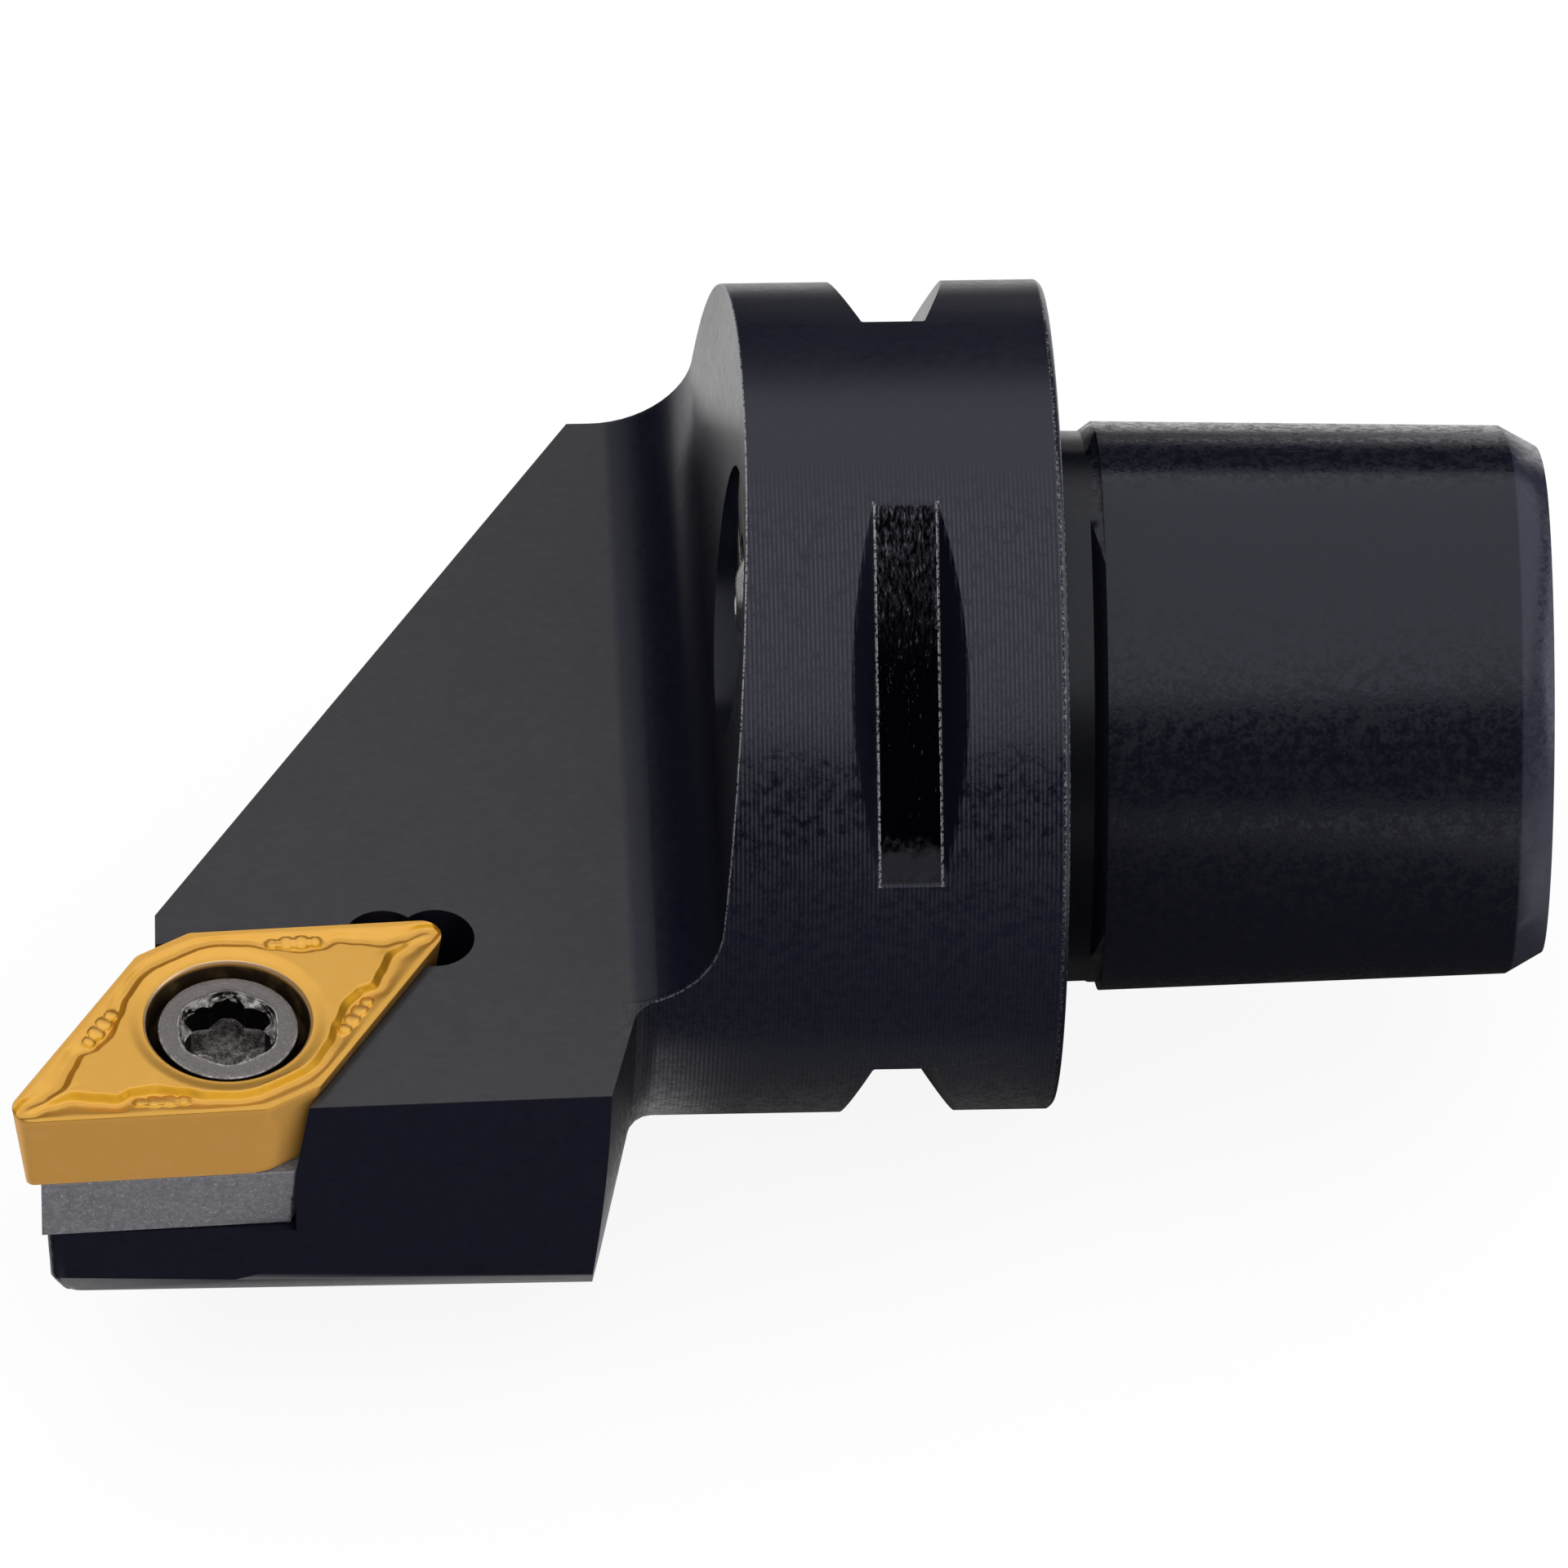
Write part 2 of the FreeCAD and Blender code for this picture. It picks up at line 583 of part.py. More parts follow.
def coupling_bore():
    """Tool that cuts the bore, the clamping groove and the centre thread's hole."""
    body = new_body("coupling_bore")
    sketch = new_sketch(body, "bore_profile", "XZ_Plane")
    groove_rise = "((clamp_groove_diameter - bore_diameter) / 2)"
    shoulder = f"({groove_rise} / tan(clamp_shoulder_angle))"
    groove_start = "(shank_length - clamp_groove_place)"
    point = "(pull_thread_minor / 2 / tan(drill_point_angle / 2))"
    add_outline(sketch, [
        ("shank_length + 1", "0"),
        ("shank_length + 1", "bore_diameter / 2 + bore_lead + 1"),
        ("shank_length - bore_lead", "bore_diameter / 2"),
        (groove_start, "bore_diameter / 2"),
        (f"{groove_start} - {shoulder}", "clamp_groove_diameter / 2"),
        (f"{groove_start} - {shoulder} - clamp_groove_floor", "clamp_groove_diameter / 2"),
        (f"{groove_start} - {shoulder} - clamp_groove_floor - {groove_rise}", "bore_diameter / 2"),
        ("(bore_diameter - pull_thread_minor) / 2", "bore_diameter / 2"),
        ("0", "pull_thread_minor / 2"),
        ("-pull_thread_depth", "pull_thread_minor / 2"),
        (f"-pull_thread_depth - {point}", "0"),
    ])
    revolve(body, "bore_turning", sketch)
    return body


def coolant_passage():
    """Drilled aslant from the centre bore to the chamber behind the nozzle ball."""
    start = Vector(-value("coolant_drill_end"), 0, 0)
    end = Vector(-value("nozzle_chamber_floor") - 1, value("nozzle_side"), value("nozzle_height"))
    drill = doc.addObject("Part::Cylinder", "coolant_passage")
    bind(drill, "Radius", "coolant_drill / 2")
    drill.Height = (end - start).Length
    drill.Placement = FreeCAD.Placement(start, FreeCAD.Rotation(Vector(0, 0, 1), end - start))
    return drill


def joined_holder():
    joined = doc.addObject("Part::MultiFuse", "head_and_shank")
    joined.Shapes = [head, polygon_shank()]
    tools = doc.addObject("Part::MultiFuse", "inner_spaces")
    tools.Shapes = [coupling_bore(), coolant_passage()]
    holder = doc.addObject("Part::Cut", "holder_body")
    holder.Base = joined
    holder.Tool = tools
    holder.Label = "holder_body"
    doc.recompute()
    return holder


# Insert, shim and their screws, each in the insert's own frame: origin at the hole's
# centre on the cutting-edge plane, X along the long diagonal towards the inner corner
def rounded_rhombus(sketch, inset, nose, side):
    """Outline inset by an expression, with round acute (nose) and obtuse (side) corners."""
    half_length = f"({corner_reach} - ({inset}) / sin{half_point})"
    half_width = f"({half_length} * tan{half_point})"
    nose_x = f"({half_length} - {nose} * cos{half_point} / tan{half_point})"
    nose_y = f"({nose} * cos{half_point})"
    side_x = f"({side} * sin{half_point})"
    side_y = f"({half_width} - {side} * sin{half_point} * tan{half_point})"
    nose_centre = f"({half_length} - {nose} / sin{half_point})"
    side_centre = f"({half_width} - {side} / cos{half_point})"
    ends = [
        (f"-{nose_x}", f"-{nose_y}"), (f"-{side_x}", f"-{side_y}"),
        (side_x, f"-{side_y}"), (nose_x, f"-{nose_y}"),
        (nose_x, nose_y), (side_x, side_y),
        (f"-{side_x}", side_y), (f"-{nose_x}", nose_y),
    ]
    centres = [("0", f"-{side_centre}"), (nose_centre, "0"), ("0", side_centre),
               (f"-{nose_centre}", "0")]
    points = [Vector(value(x), value(y), 0) for x, y in ends]
    for corner, (x, y) in enumerate(centres):
        begin = points[2 * corner + 1]
        finish = points[(2 * corner + 2) % 8]
        centre = Vector(value(x), value(y), 0)
        line = sketch.addGeometry(Part.LineSegment(points[2 * corner], begin))
        turns = [math.atan2(p.y - centre.y, p.x - centre.x) for p in (begin, finish)]
        circle = Part.Circle(centre, Vector(0, 0, 1), (begin - centre).Length)
        sketch.addGeometry(Part.ArcOfCircle(circle, *turns))
        pin_point(sketch, line, 1, *ends[2 * corner])
        pin_point(sketch, line, 2, *ends[2 * corner + 1])
    for corner in range(4):
        line = 2 * corner
        arc = line + 1
        sketch.addConstraint(Sketcher.Constraint("Coincident", line, 2, arc, 1))
        sketch.addConstraint(Sketcher.Constraint("Coincident", arc, 2, (line + 2) % 8, 1))
        pin(sketch, "Radius", nose if corner % 2 else side, arc)


def sunk_hole(body, name, steps):
    """Groove turned about the insert's axis from (radius, height) pairs."""
    sketch = new_sketch(body, f"{name}_profile", "XZ_Plane")
    add_outline(sketch, steps)
    feature = body.newObject("PartDesign::Groove", name)
    feature.Profile = sketch
    feature.ReferenceAxis = (sketch, ["V_Axis"])
    feature.Angle = 360
    doc.recompute()


def make_insert():
    body = new_body("insert")
    sketch = new_sketch(body, "insert_outline", "XY_Plane")
    rounded_rhombus(sketch, "0", "nose_radius", "obtuse_radius")
    pad(body, "insert_blank", sketch, "insert_thickness", taper="-clearance_angle", downwards=True)
    sink = "((insert_sink - insert_hole) / 2 / tan(insert_sink_angle / 2))"
    sunk_hole(body, "insert_hole", [
        ("0", "1"), ("insert_sink / 2", "1"), ("insert_sink / 2", "0"),
        ("insert_hole / 2", f"-{sink}"), ("insert_hole / 2", "-insert_thickness - 1"),
        ("0", "-insert_thickness - 1"),
    ])
    bind(body, "Placement", insert_frame)
    return body


shim_screw_top = f"({shim_top} - shim_screw_drop)"
shim_screw_neck = "((shim_screw_head - shim_screw_diameter) / 2)"


def make_shim():
    body = new_body("shim")
    lowered = place_text("0", "0", shim_top)
    sketch = new_sketch(body, "shim_outline", "XY_Plane", lowered)
    rounded_rhombus(sketch, f"insert_thickness * {side_slope}", "shim_nose_radius",
                    f"(obtuse_radius - insert_thickness * {side_slope})")
    pad(body, "shim_blank", sketch, "shim_thickness", taper="-clearance_angle", downwards=True)
    trim = f"(-shim_front - {insert_x})"
    wide = "inscribed_circle"
    sketch = new_sketch(body, "shim_trim_profile", "XY_Plane",
                        place_text("0", "0", "0", f"-{long_axis_angle}"))
    add_outline(sketch, [
        (f"{trim} - {wide}", f"-{wide}"), (trim, f"-{wide}"), (trim, wide),
        (f"{trim} - {wide}", wide),
    ])
    pocket(body, "shim_trim", sketch, depth="flange_diameter")
    head_wall = "(shim_screw_head / 2 + screw_clearance)"
    shank_wall = "(shim_screw_diameter / 2 + screw_clearance)"
    rim_foot = f"({shim_screw_top} - shim_screw_head_rim)"
    sunk_hole(body, "shim_hole", [
        ("0", f"{shim_top} + 1"), (head_wall, f"{shim_top} + 1"),
        (head_wall, f"{rim_foot} - screw_clearance"),
        (shank_wall, f"{rim_foot} - screw_clearance - {shim_screw_neck}"),
        (shank_wall, f"{seat_height} - 1"), ("0", f"{seat_height} - 1"),
    ])
    bind(body, "Placement", insert_frame)
    return body


def make_shim_screw():
    body = new_body("shim_screw")
    bore = "(screw_diameter / 2 + screw_clearance)"
    foot = f"({shim_screw_top} - shim_screw_length)"
    sketch = new_sketch(body, "shim_screw_profile", "XZ_Plane")
    add_outline(sketch, [
        (bore, shim_screw_top),
        ("shim_screw_head / 2", shim_screw_top),
        ("shim_screw_head / 2", f"{shim_screw_top} - shim_screw_head_rim"),
        ("shim_screw_diameter / 2", f"{shim_screw_top} - shim_screw_head_rim - {shim_screw_neck}"),
        ("shim_screw_diameter / 2", f"{foot} + screw_tip"),
        ("shim_screw_diameter / 2 - screw_tip", foot),
        (bore, foot),
    ])
    revolve(body, "shim_screw_turning", sketch, "V_Axis")
    sketch = new_sketch(body, "key_profile", "XY_Plane", place_text("0", "0", shim_screw_top))
    across = "(shim_screw_key / cos(30) / 2)"
    add_outline(sketch, [
        (f"{across} * cos({angle})", f"{across} * sin({angle})") for angle in range(0, 360, 60)
    ])
    pocket(body, "key_socket", sketch, depth="shim_screw_key_depth")
    bind(body, "Placement", insert_frame)
    return body


def make_insert_screw():
    body = new_body("insert_screw")
    top = "(-screw_head_drop)"
    half_cone = "(insert_sink_angle / 2)"
    rim_foot = f"({top} - screw_head_rim)"
    cone = f"((screw_head_diameter - screw_diameter) / 2 / tan{half_cone})"
    foot = f"({top} - screw_length)"
    sketch = new_sketch(body, "insert_screw_profile", "XZ_Plane")
    add_outline(sketch, [
        ("0", top),
        ("screw_head_diameter / 2", top),
        ("screw_head_diameter / 2", rim_foot),
        ("screw_diameter / 2", f"{rim_foot} - {cone}"),
        ("screw_diameter / 2", f"{foot} + screw_tip"),
        ("screw_diameter / 2 - screw_tip", foot),
        ("0", foot),
    ])
    revolve(body, "insert_screw_turning", sketch, "V_Axis")
    sketch = new_sketch(body, "socket_profile", "XY_Plane", place_text("0", "0", top))
    add_circle(sketch, "0", "0", "socket_circle")
    pocket(body, "socket", sketch, depth="socket_depth")
    sketch = new_sketch(body, "socket_lobe_profile", "XY_Plane", place_text("0", "0", top))
    add_circle(sketch, "socket_circle / 2", "0", "socket_lobe")
    lobe = pocket(body, "socket_lobe", sketch, depth="socket_depth")
    polar_pattern(body, "socket_lobes", lobe, "Z_Axis", "6")
    bind(body, "Placement", insert_frame)
    return body


# Coolant nozzle, in a frame whose X is the nozzle's axis
nozzle_frame = place_text("0", "nozzle_side", "nozzle_height")


def make_nozzle_ring():
    """Retaining ring with a ball seat, let into the chip wall."""
    body = new_body("nozzle_ring")
    outer = "(nozzle_bore / 2 - nozzle_ring_clearance)"
    sketch = new_sketch(body, "nozzle_ring_profile", "XZ_Plane")
    add_outline(sketch, [
        ("-nozzle_ring_front", "0"), ("-nozzle_ring_front", outer),
        ("-nozzle_bore_floor", outer), ("-nozzle_bore_floor", "0"),
    ])
    revolve(body, "nozzle_ring_turning", sketch)
    sketch = new_sketch(body, "ring_mouth_profile", "YZ_Plane",
                        place_text("0", "0", "-nozzle_bore_floor + 1"))
    add_circle(sketch, "0", "0", "ring_mouth")
    pocket(body, "ring_mouth", sketch)
    sketch = new_sketch(body, "ring_slot_profile", "YZ_Plane",
                        place_text("0", "0", "-nozzle_ring_front + ring_slot_depth"))
    add_outline(sketch, [
        ("-nozzle_bore", "-ring_slot_width / 2"), ("nozzle_bore", "-ring_slot_width / 2"),
        ("nozzle_bore", "ring_slot_width / 2"), ("-nozzle_bore", "ring_slot_width / 2"),
    ])
    pocket(body, "ring_slots", sketch)
    seat = doc.addObject("Part::Sphere", "ball_seat")
    bind(seat, "Radius", "ball_diameter / 2 + ball_clearance")
    bind(seat, "Placement", place_text("-ball_place", "0", "0", pitch="90"))
    ring = doc.addObject("Part::Cut", "seated_ring")
    ring.Base = body
    ring.Tool = seat
    ring.Label = "nozzle_ring"
    body.Label = "nozzle_ring_blank"
    bind(ring, "Placement", nozzle_frame)
    doc.recompute()
    return ring


def make_nozzle_ball():
    """Ball with a jet hole that widens towards the coolant."""
    sphere = doc.addObject("Part::Sphere", "ball_blank")
    bind(sphere, "Radius", "ball_diameter / 2")
    bind(sphere, "Placement", place_text("-ball_place", "0", "0", pitch="90"))
    jet = doc.addObject("Part::Cylinder", "jet_hole")
    bind(jet, "Radius", "jet_diameter / 2")
    bind(jet, "Height", "ball_diameter + 2")
    bind(jet, "Placement", place_text("-ball_place - ball_diameter / 2 - 1", "0", "0", pitch="90"))
    inlet = doc.addObject("Part::Cone", "jet_inlet")
    bind(inlet, "Radius1", "jet_diameter / 2")
    bind(inlet, "Radius2", "jet_inlet / 2 + (jet_inlet - jet_diameter) / 2")
    bind(inlet, "Height", "ball_diameter")
    bind(inlet, "Placement", place_text("-ball_place", "0", "0", pitch="90"))
    holes = doc.addObject("Part::MultiFuse", "ball_holes")
    holes.Shapes = [jet, inlet]
    ball = doc.addObject("Part::Cut", "nozzle_ball")
    ball.Base = sphere
    ball.Tool = holes
    ball.Label = "nozzle_ball"
    bind(ball, "Placement", nozzle_frame)
    doc.recompute()
    return ball


def make_nozzle_seal():
    """Rubber ring of square section; the ball is pressed against its inner edge."""
    body = new_body("nozzle_seal")
    outer = "(nozzle_chamber / 2 - seal_clearance)"
    inner = f"({outer} - seal_section)"
    reach = "(ball_diameter / 2 + ball_clearance)"
    lip = f"(-ball_place + sqrt({reach} * {reach} - {inner} * {inner}))"
    sketch = new_sketch(body, "nozzle_seal_profile", "XZ_Plane")
    add_outline(sketch, [
        ("-nozzle_chamber_floor - seal_clearance", inner),
        ("-nozzle_chamber_floor - seal_clearance", outer),
        (lip, outer),
        (lip, inner),
    ])
    revolve(body, "nozzle_seal_turning", sketch)
    bind(body, "Placement", nozzle_frame)
    return body


pieces = {
    "holder_body": joined_holder(),
    "insert": make_insert(),
    "insert_screw": make_insert_screw(),
    "shim": make_shim(),
    "shim_screw": make_shim_screw(),
    "nozzle_ring": make_nozzle_ring(),
    "nozzle_ball": make_nozzle_ball(),
    "nozzle_seal": make_nozzle_seal(),
}
doc.recompute()

for thing in doc.Objects:
    if "Invalid" in thing.State or "Error" in thing.State:
        raise RuntimeError(f"{thing.Name} failed: {thing.State}")

os.makedirs("parts", exist_ok=True)
for name, piece in pieces.items():
    shape = piece.Shape
    if shape.isNull() or not shape.isValid() or len(shape.Solids) != 1:
        raise RuntimeError(f"{name} is not one valid solid")
    shape.exportStep(f"parts/{name}.step")
    box = shape.BoundBox
    print(f"{name}: {shape.Volume:.1f} mm3, X {box.XMin:.2f} to {box.XMax:.2f}, "
          f"Y {box.YMin:.2f} to {box.YMax:.2f}, Z {box.ZMin:.2f} to {box.ZMax:.2f}")
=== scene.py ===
import math

import bmesh
import bpy
from mathutils import Euler, Matrix, Vector, noise


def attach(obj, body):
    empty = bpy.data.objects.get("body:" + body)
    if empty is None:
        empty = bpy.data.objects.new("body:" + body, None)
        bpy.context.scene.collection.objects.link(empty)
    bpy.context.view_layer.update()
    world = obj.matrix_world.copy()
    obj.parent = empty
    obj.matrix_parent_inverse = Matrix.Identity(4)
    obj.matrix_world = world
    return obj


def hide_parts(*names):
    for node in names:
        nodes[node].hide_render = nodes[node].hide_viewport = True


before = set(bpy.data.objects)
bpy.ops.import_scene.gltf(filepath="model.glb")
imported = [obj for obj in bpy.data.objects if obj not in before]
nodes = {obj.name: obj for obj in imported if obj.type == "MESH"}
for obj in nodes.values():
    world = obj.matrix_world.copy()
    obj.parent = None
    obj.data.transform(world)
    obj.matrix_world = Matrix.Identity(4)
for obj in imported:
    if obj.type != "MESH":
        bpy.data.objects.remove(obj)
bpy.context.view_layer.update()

# Turning tool holder with a screwed-on insert, as a studio photograph.
# Metres; X is the tool axis, + towards the shank end, and Z is up.
mm = 0.001
mergeWithin = 0.0005 * mm
flangeRadius = 16 * mm
keywayCentre = -6 * mm
keywayHalf = 1.2 * mm
boreReach = 9.5 * mm
shortest = 0.02 * mm
print("frame loaded:", len(nodes), "nodes")


# Shader maths: a wrapped socket, so that masks read as plain expressions
class Wire:
    def __init__(self, finish, socket):
        self.finish = finish
        self.socket = socket

    def calc(self, operation, *values):
        return self.finish.add("ShaderNodeMath", {"operation": operation}, *values)

    def __add__(self, other):
        return self.calc("ADD", self, other)

    def __radd__(self, other):
        return self.calc("ADD", other, self)

    def __sub__(self, other):
        return self.calc("SUBTRACT", self, other)

    def __rsub__(self, other):
        return self.calc("SUBTRACT", other, self)

    def __mul__(self, other):
        return self.calc("MULTIPLY", self, other)

    def __rmul__(self, other):
        return self.calc("MULTIPLY", other, self)

    def __truediv__(self, other):
        return self.calc("DIVIDE", self, other)

    def __pow__(self, other):
        return self.calc("POWER", self, other)

    def __abs__(self):
        return self.calc("ABSOLUTE", self)


class Finish:
    def __init__(self, name):
        self.material = bpy.data.materials.new(name)
        self.material.use_nodes = True
        self.tree = self.material.node_tree
        self.shader = self.tree.nodes["Principled BSDF"]

    def feed(self, socket, value):
        if isinstance(value, Wire):
            self.tree.links.new(value.socket, socket)
        else:
            socket.default_value = value

    def add(self, kind, settings=None, *values, output=0, inputs=None):
        node = self.tree.nodes.new(kind)
        for key, setting in (settings or {}).items():
            setattr(node, key, setting)
        for spot, value in enumerate(values):
            self.feed(node.inputs[spot], value)
        for key, value in (inputs or {}).items():
            self.feed(node.inputs[key], value)
        return Wire(self, node.outputs[output])

    def place(self, turn=(0, 0, 0), centre=(0, 0, 0), scale=(1, 1, 1)):
        spot = self.add("ShaderNodeTexCoord", output="Object")
        moved = self.add("ShaderNodeVectorMath", {"operation": "SUBTRACT"}, spot, centre)
        return self.add("ShaderNodeMapping", None, moved, inputs={"Rotation": turn, "Scale": scale})

    def facing(self):
        return self.split(self.add("ShaderNodeAttribute", {"attribute_name": "facing"}, output=1))

    def split(self, vector):
        node = self.tree.nodes.new("ShaderNodeSeparateXYZ")
        self.tree.links.new(vector.socket, node.inputs[0])
        return [Wire(self, out) for out in node.outputs]

    def grain(self, vector, size, detail=4, roughness=0.6, lacunarity=2.0):
        return self.add("ShaderNodeTexNoise", None, inputs={
            "Vector": vector, "Scale": 1 / size, "Detail": detail, "Roughness": roughness,
            "Lacunarity": lacunarity})

    def band(self, value, low, high):
        return self.add("ShaderNodeMapRange", {"interpolation_type": "SMOOTHSTEP"},
                        value, low, high)

    def blend(self, factor, first, second):
        node = self.tree.nodes.new("ShaderNodeMix")
        node.data_type = "RGBA"
        self.feed(node.inputs[0], factor)
        for socket, colour in ((node.inputs[6], first), (node.inputs[7], second)):
            self.feed(socket, colour if isinstance(colour, Wire) else (*colour, 1))
        return Wire(self, node.outputs[2])

    def relief(self, height, depth):
        return self.add("ShaderNodeBump", None, inputs={"Height": height, "Distance": depth,
                                                        "Strength": 1.0})

    def set(self, **sockets):
        for name, value in sockets.items():
            self.feed(self.shader.inputs[name.replace("_", " ")], value)
        return self.material


# Steel holder: black oxide, ground and milled faces, turned flange
holderLook = {
    "dark": (0.0014, 0.0018, 0.0055),
    "light": (0.0048, 0.0052, 0.0110),
    "rake": (0.027, 0.025, 0.024),
    "ground": (0.0050, 0.0052, 0.0085),
    "turned": (0.036, 0.036, 0.046),
    # front: painted light, a lighter bluer tone on faces turned towards -Y
    "front": (0.0090, 0.0098, 0.0190),
    # neck: painted shade in the neck between flange and shank
    "neck": (0.0006, 0.0008, 0.0016),
    # chamfer: painted highlight on the shank's end chamfer
    "chamfer": (0.026, 0.026, 0.040),
    # slot: painted shade, near black, in the flange's groove and the fillet
    "slot": (0.0006, 0.0007, 0.0012),
    # slotEndsLight: painted light at the groove's ends and in patches of its upper part
    "slotEndsLight": (0.045, 0.045, 0.056),
    "flecks": (0.22, 0.22, 0.25),
    # worn: bare steel on rounded edges, partly real wear, partly painted highlight
    "worn": (0.42, 0.42, 0.43),
    "gloss": 0.42,
    "tint": (0.86, 0.88, 1.0, 1),
    "mottle": 0.42 * mm,
    "turning": 0.17 * mm,
}


def blackedSteel():
    look = holderLook
    made = Finish("blackedSteel")
    spot = made.place()
    x, y, z = made.split(spot)
    radius = (y * y + z * z) ** 0.5
    mottle = made.grain(spot, look["mottle"], 5, 0.65)
    cloud = made.grain(spot, 3.5 * mm, 3, 0.5)
    fine = made.grain(spot, 0.09 * mm, 2, 0.5)
    turned = made.band(radius, 15.7 * mm, 15.9 * mm) * made.band(x, -17.5 * mm, -16.5 * mm)
    turned = turned * (1 - made.band(x, -0.3 * mm, -0.1 * mm))
    ground = made.band(x, 1.3 * mm, 1.6 * mm)
    swing = x.calc("SINE", x * (2 * math.pi / look["turning"])) * 0.5 + 0.5
    # bare steel on the rounded edges: partly real wear, partly painted highlight lines along the
    # slot floor and front rim; fainter towards the lower front
    worn = made.add("ShaderNodeAttribute", {"attribute_name": "worn"}, output=2)
    worn = worn ** 0.6 * made.band(made.grain(spot, 0.12 * mm, 3, 0.6),
                                   0.54 - worn * 0.40, 0.66 - worn * 0.40)
    worn = worn * (0.3 + made.band(y + z, -15 * mm, -6 * mm) * 0.7)
    # milled slots: painted shade, near black, with bright flecks where the cutter left the steel
    # bare
    inSlot = 1 - made.band(abs(x + 6 * mm), 1.14 * mm, 1.18 * mm)
    inSlot = inSlot * (1 - made.band(radius, 15.90 * mm, 15.96 * mm))
    fleck = made.grain(made.place(scale=(2.6, 0.7, 0.7)), 0.28 * mm, 5, 0.75)
    upper = made.band(y + z, -9 * mm, 12 * mm)
    flecks = made.band(fleck, 0.66 - upper * 0.10, 0.76 - upper * 0.10) * inSlot
    # the fillet between head and flange, out of the light
    inFillet = made.band(x, -21.2 * mm, -19.8 * mm) * (1 - made.band(x, -15.9 * mm, -15.8 * mm))
    inFillet = inFillet * made.band(z, -0.49 * mm, 0.9 * mm)
    inFillet = inFillet * (1 - made.band(radius, 15.90 * mm, 15.98 * mm))
    inFillet = inFillet * (1 - made.band(y, 5 * mm, 11 * mm) * 0.25)
    # painted shade: the groove and the fillet go near black and mirror-like
    paintedShade = (inSlot * (1 - made.band(fleck, 0.3, 0.8) * 0.35)).calc("MAXIMUM", inFillet, inSlot)
    tone = made.blend(mottle * 0.75 + cloud * 0.25, look["dark"], look["light"])
    # the rake face, milled and brighter
    rake = made.band(z, -0.56 * mm, -0.52 * mm) * (1 - made.band(z, -0.49 * mm, 0.4 * mm))
    rake = rake * (1 - made.band(x, -16.6 * mm, -16.2 * mm))
    milled = made.grain(made.place(scale=(0.35, 1, 1)), 0.22 * mm, 4, 0.7)
    tone = made.blend(rake * (0.45 + milled * 0.6), tone, look["rake"])
    tone = made.blend(ground * (0.4 + mottle * 0.4), tone, look["ground"])
    # turning lines show on the flange's lower part
    low = 1 - made.band(y + z, 8 * mm, 14 * mm)
    lines = low * swing ** 2 * made.band(mottle, 0.30, 0.58)
    lines = lines * (0.35 + made.band(y + z, -16 * mm, -5 * mm) * 0.65)
    tone = made.blend(turned * (lines * 0.72 + (1 - low) * 0.13), tone, look["turned"])
    # painted light: faces turned towards -Y get a lighter, bluer tone
    front = made.band(made.facing()[1] * -1, 0.90, 0.98) * (1 - ground)
    tone = made.blend(front * (0.35 + mottle * 0.4), tone, look["front"])
    # painted shade: the neck between flange and shank goes near black
    neck = made.band(x, 0.05 * mm, 0.15 * mm) * (1 - made.band(x, 1.5 * mm, 1.8 * mm))
    tone = made.blend(neck * 0.8, tone, look["neck"])
    # painted highlight: the shank's end chamfer gets a lighter tone
    chamfer = made.band(x, 17.55 * mm, 17.7 * mm)
    tone = made.blend(chamfer * 0.7, tone, look["chamfer"])
    tone = made.blend(paintedShade, tone, look["slot"])
    # painted light: the groove's ends, and patches in its upper part, get a lighter tone
    slotEndsLight = (1 - made.band(y + z + (mottle - 0.5) * 4 * mm, -8.9 * mm, -7.6 * mm)) * 0.8
    slotEndsLight = slotEndsLight + made.band(y + z, 1 * mm, 9 * mm) * made.band(fleck, 0.42, 0.60)
    tone = made.blend(slotEndsLight * inSlot * 0.5, tone, look["slotEndsLight"])
    tone = made.blend(flecks * 0.5, tone, look["flecks"])
    tone = made.blend(worn, tone, look["worn"])
    rough = 0.30 + (mottle - 0.5) * 0.20 + (cloud - 0.5) * 0.08 - ground * 0.05 - inFillet * 0.13
    metal = paintedShade.calc("MAXIMUM", worn * 0.85, paintedShade)
    # blotches where the oxide is uneven, and upright strokes beside the neck
    peel = made.grain(spot, 0.17 * mm, 3, 0.6)
    streak = made.grain(made.place(scale=(6, 0.5, 0.5)), 0.30 * mm, 4, 0.6)
    peeled = ground + turned * low
    streaked = ground * (1 - made.band(x, 3 * mm, 8 * mm))
    patchy = made.band(mottle * 0.5 + peel * 0.5, 0.40, 0.60)
    rough = rough + peeled * (patchy - 0.5) * 0.22
    relief = made.relief(mottle * 0.35 + fine * 0.35 + turned * low * swing * 1.1
                         + fleck * inSlot * 2 + peeled * peel * 1.6 + streaked * streak * 1.2,
                         0.004 * mm)
    return made.set(Base_Color=tone, Roughness=rough, Metallic=metal,
                    Specular_IOR_Level=look["gloss"], Specular_Tint=look["tint"], Normal=relief)


insertLook = {
    "top": (0.79, 0.425, 0.083),
    # deep: painted shade on the chip former's sloping walls
    "recessShade": (0.66, 0.325, 0.018),
    "side": (0.84, 0.43, 0.090),
    # hole: inside the hole, partly thinner coating, partly painted shade
    "hole": (0.035, 0.020, 0.010),
    "shade": (0.10, 0.045, 0.008),
    # rim: painted highlight around the hole's rim
    "rim": (0.95, 0.72, 0.50),
    "specks": (0.35, 0.19, 0.04),
    "clouds": (0.95, 0.62, 0.20),
    "rough": 0.42,
}


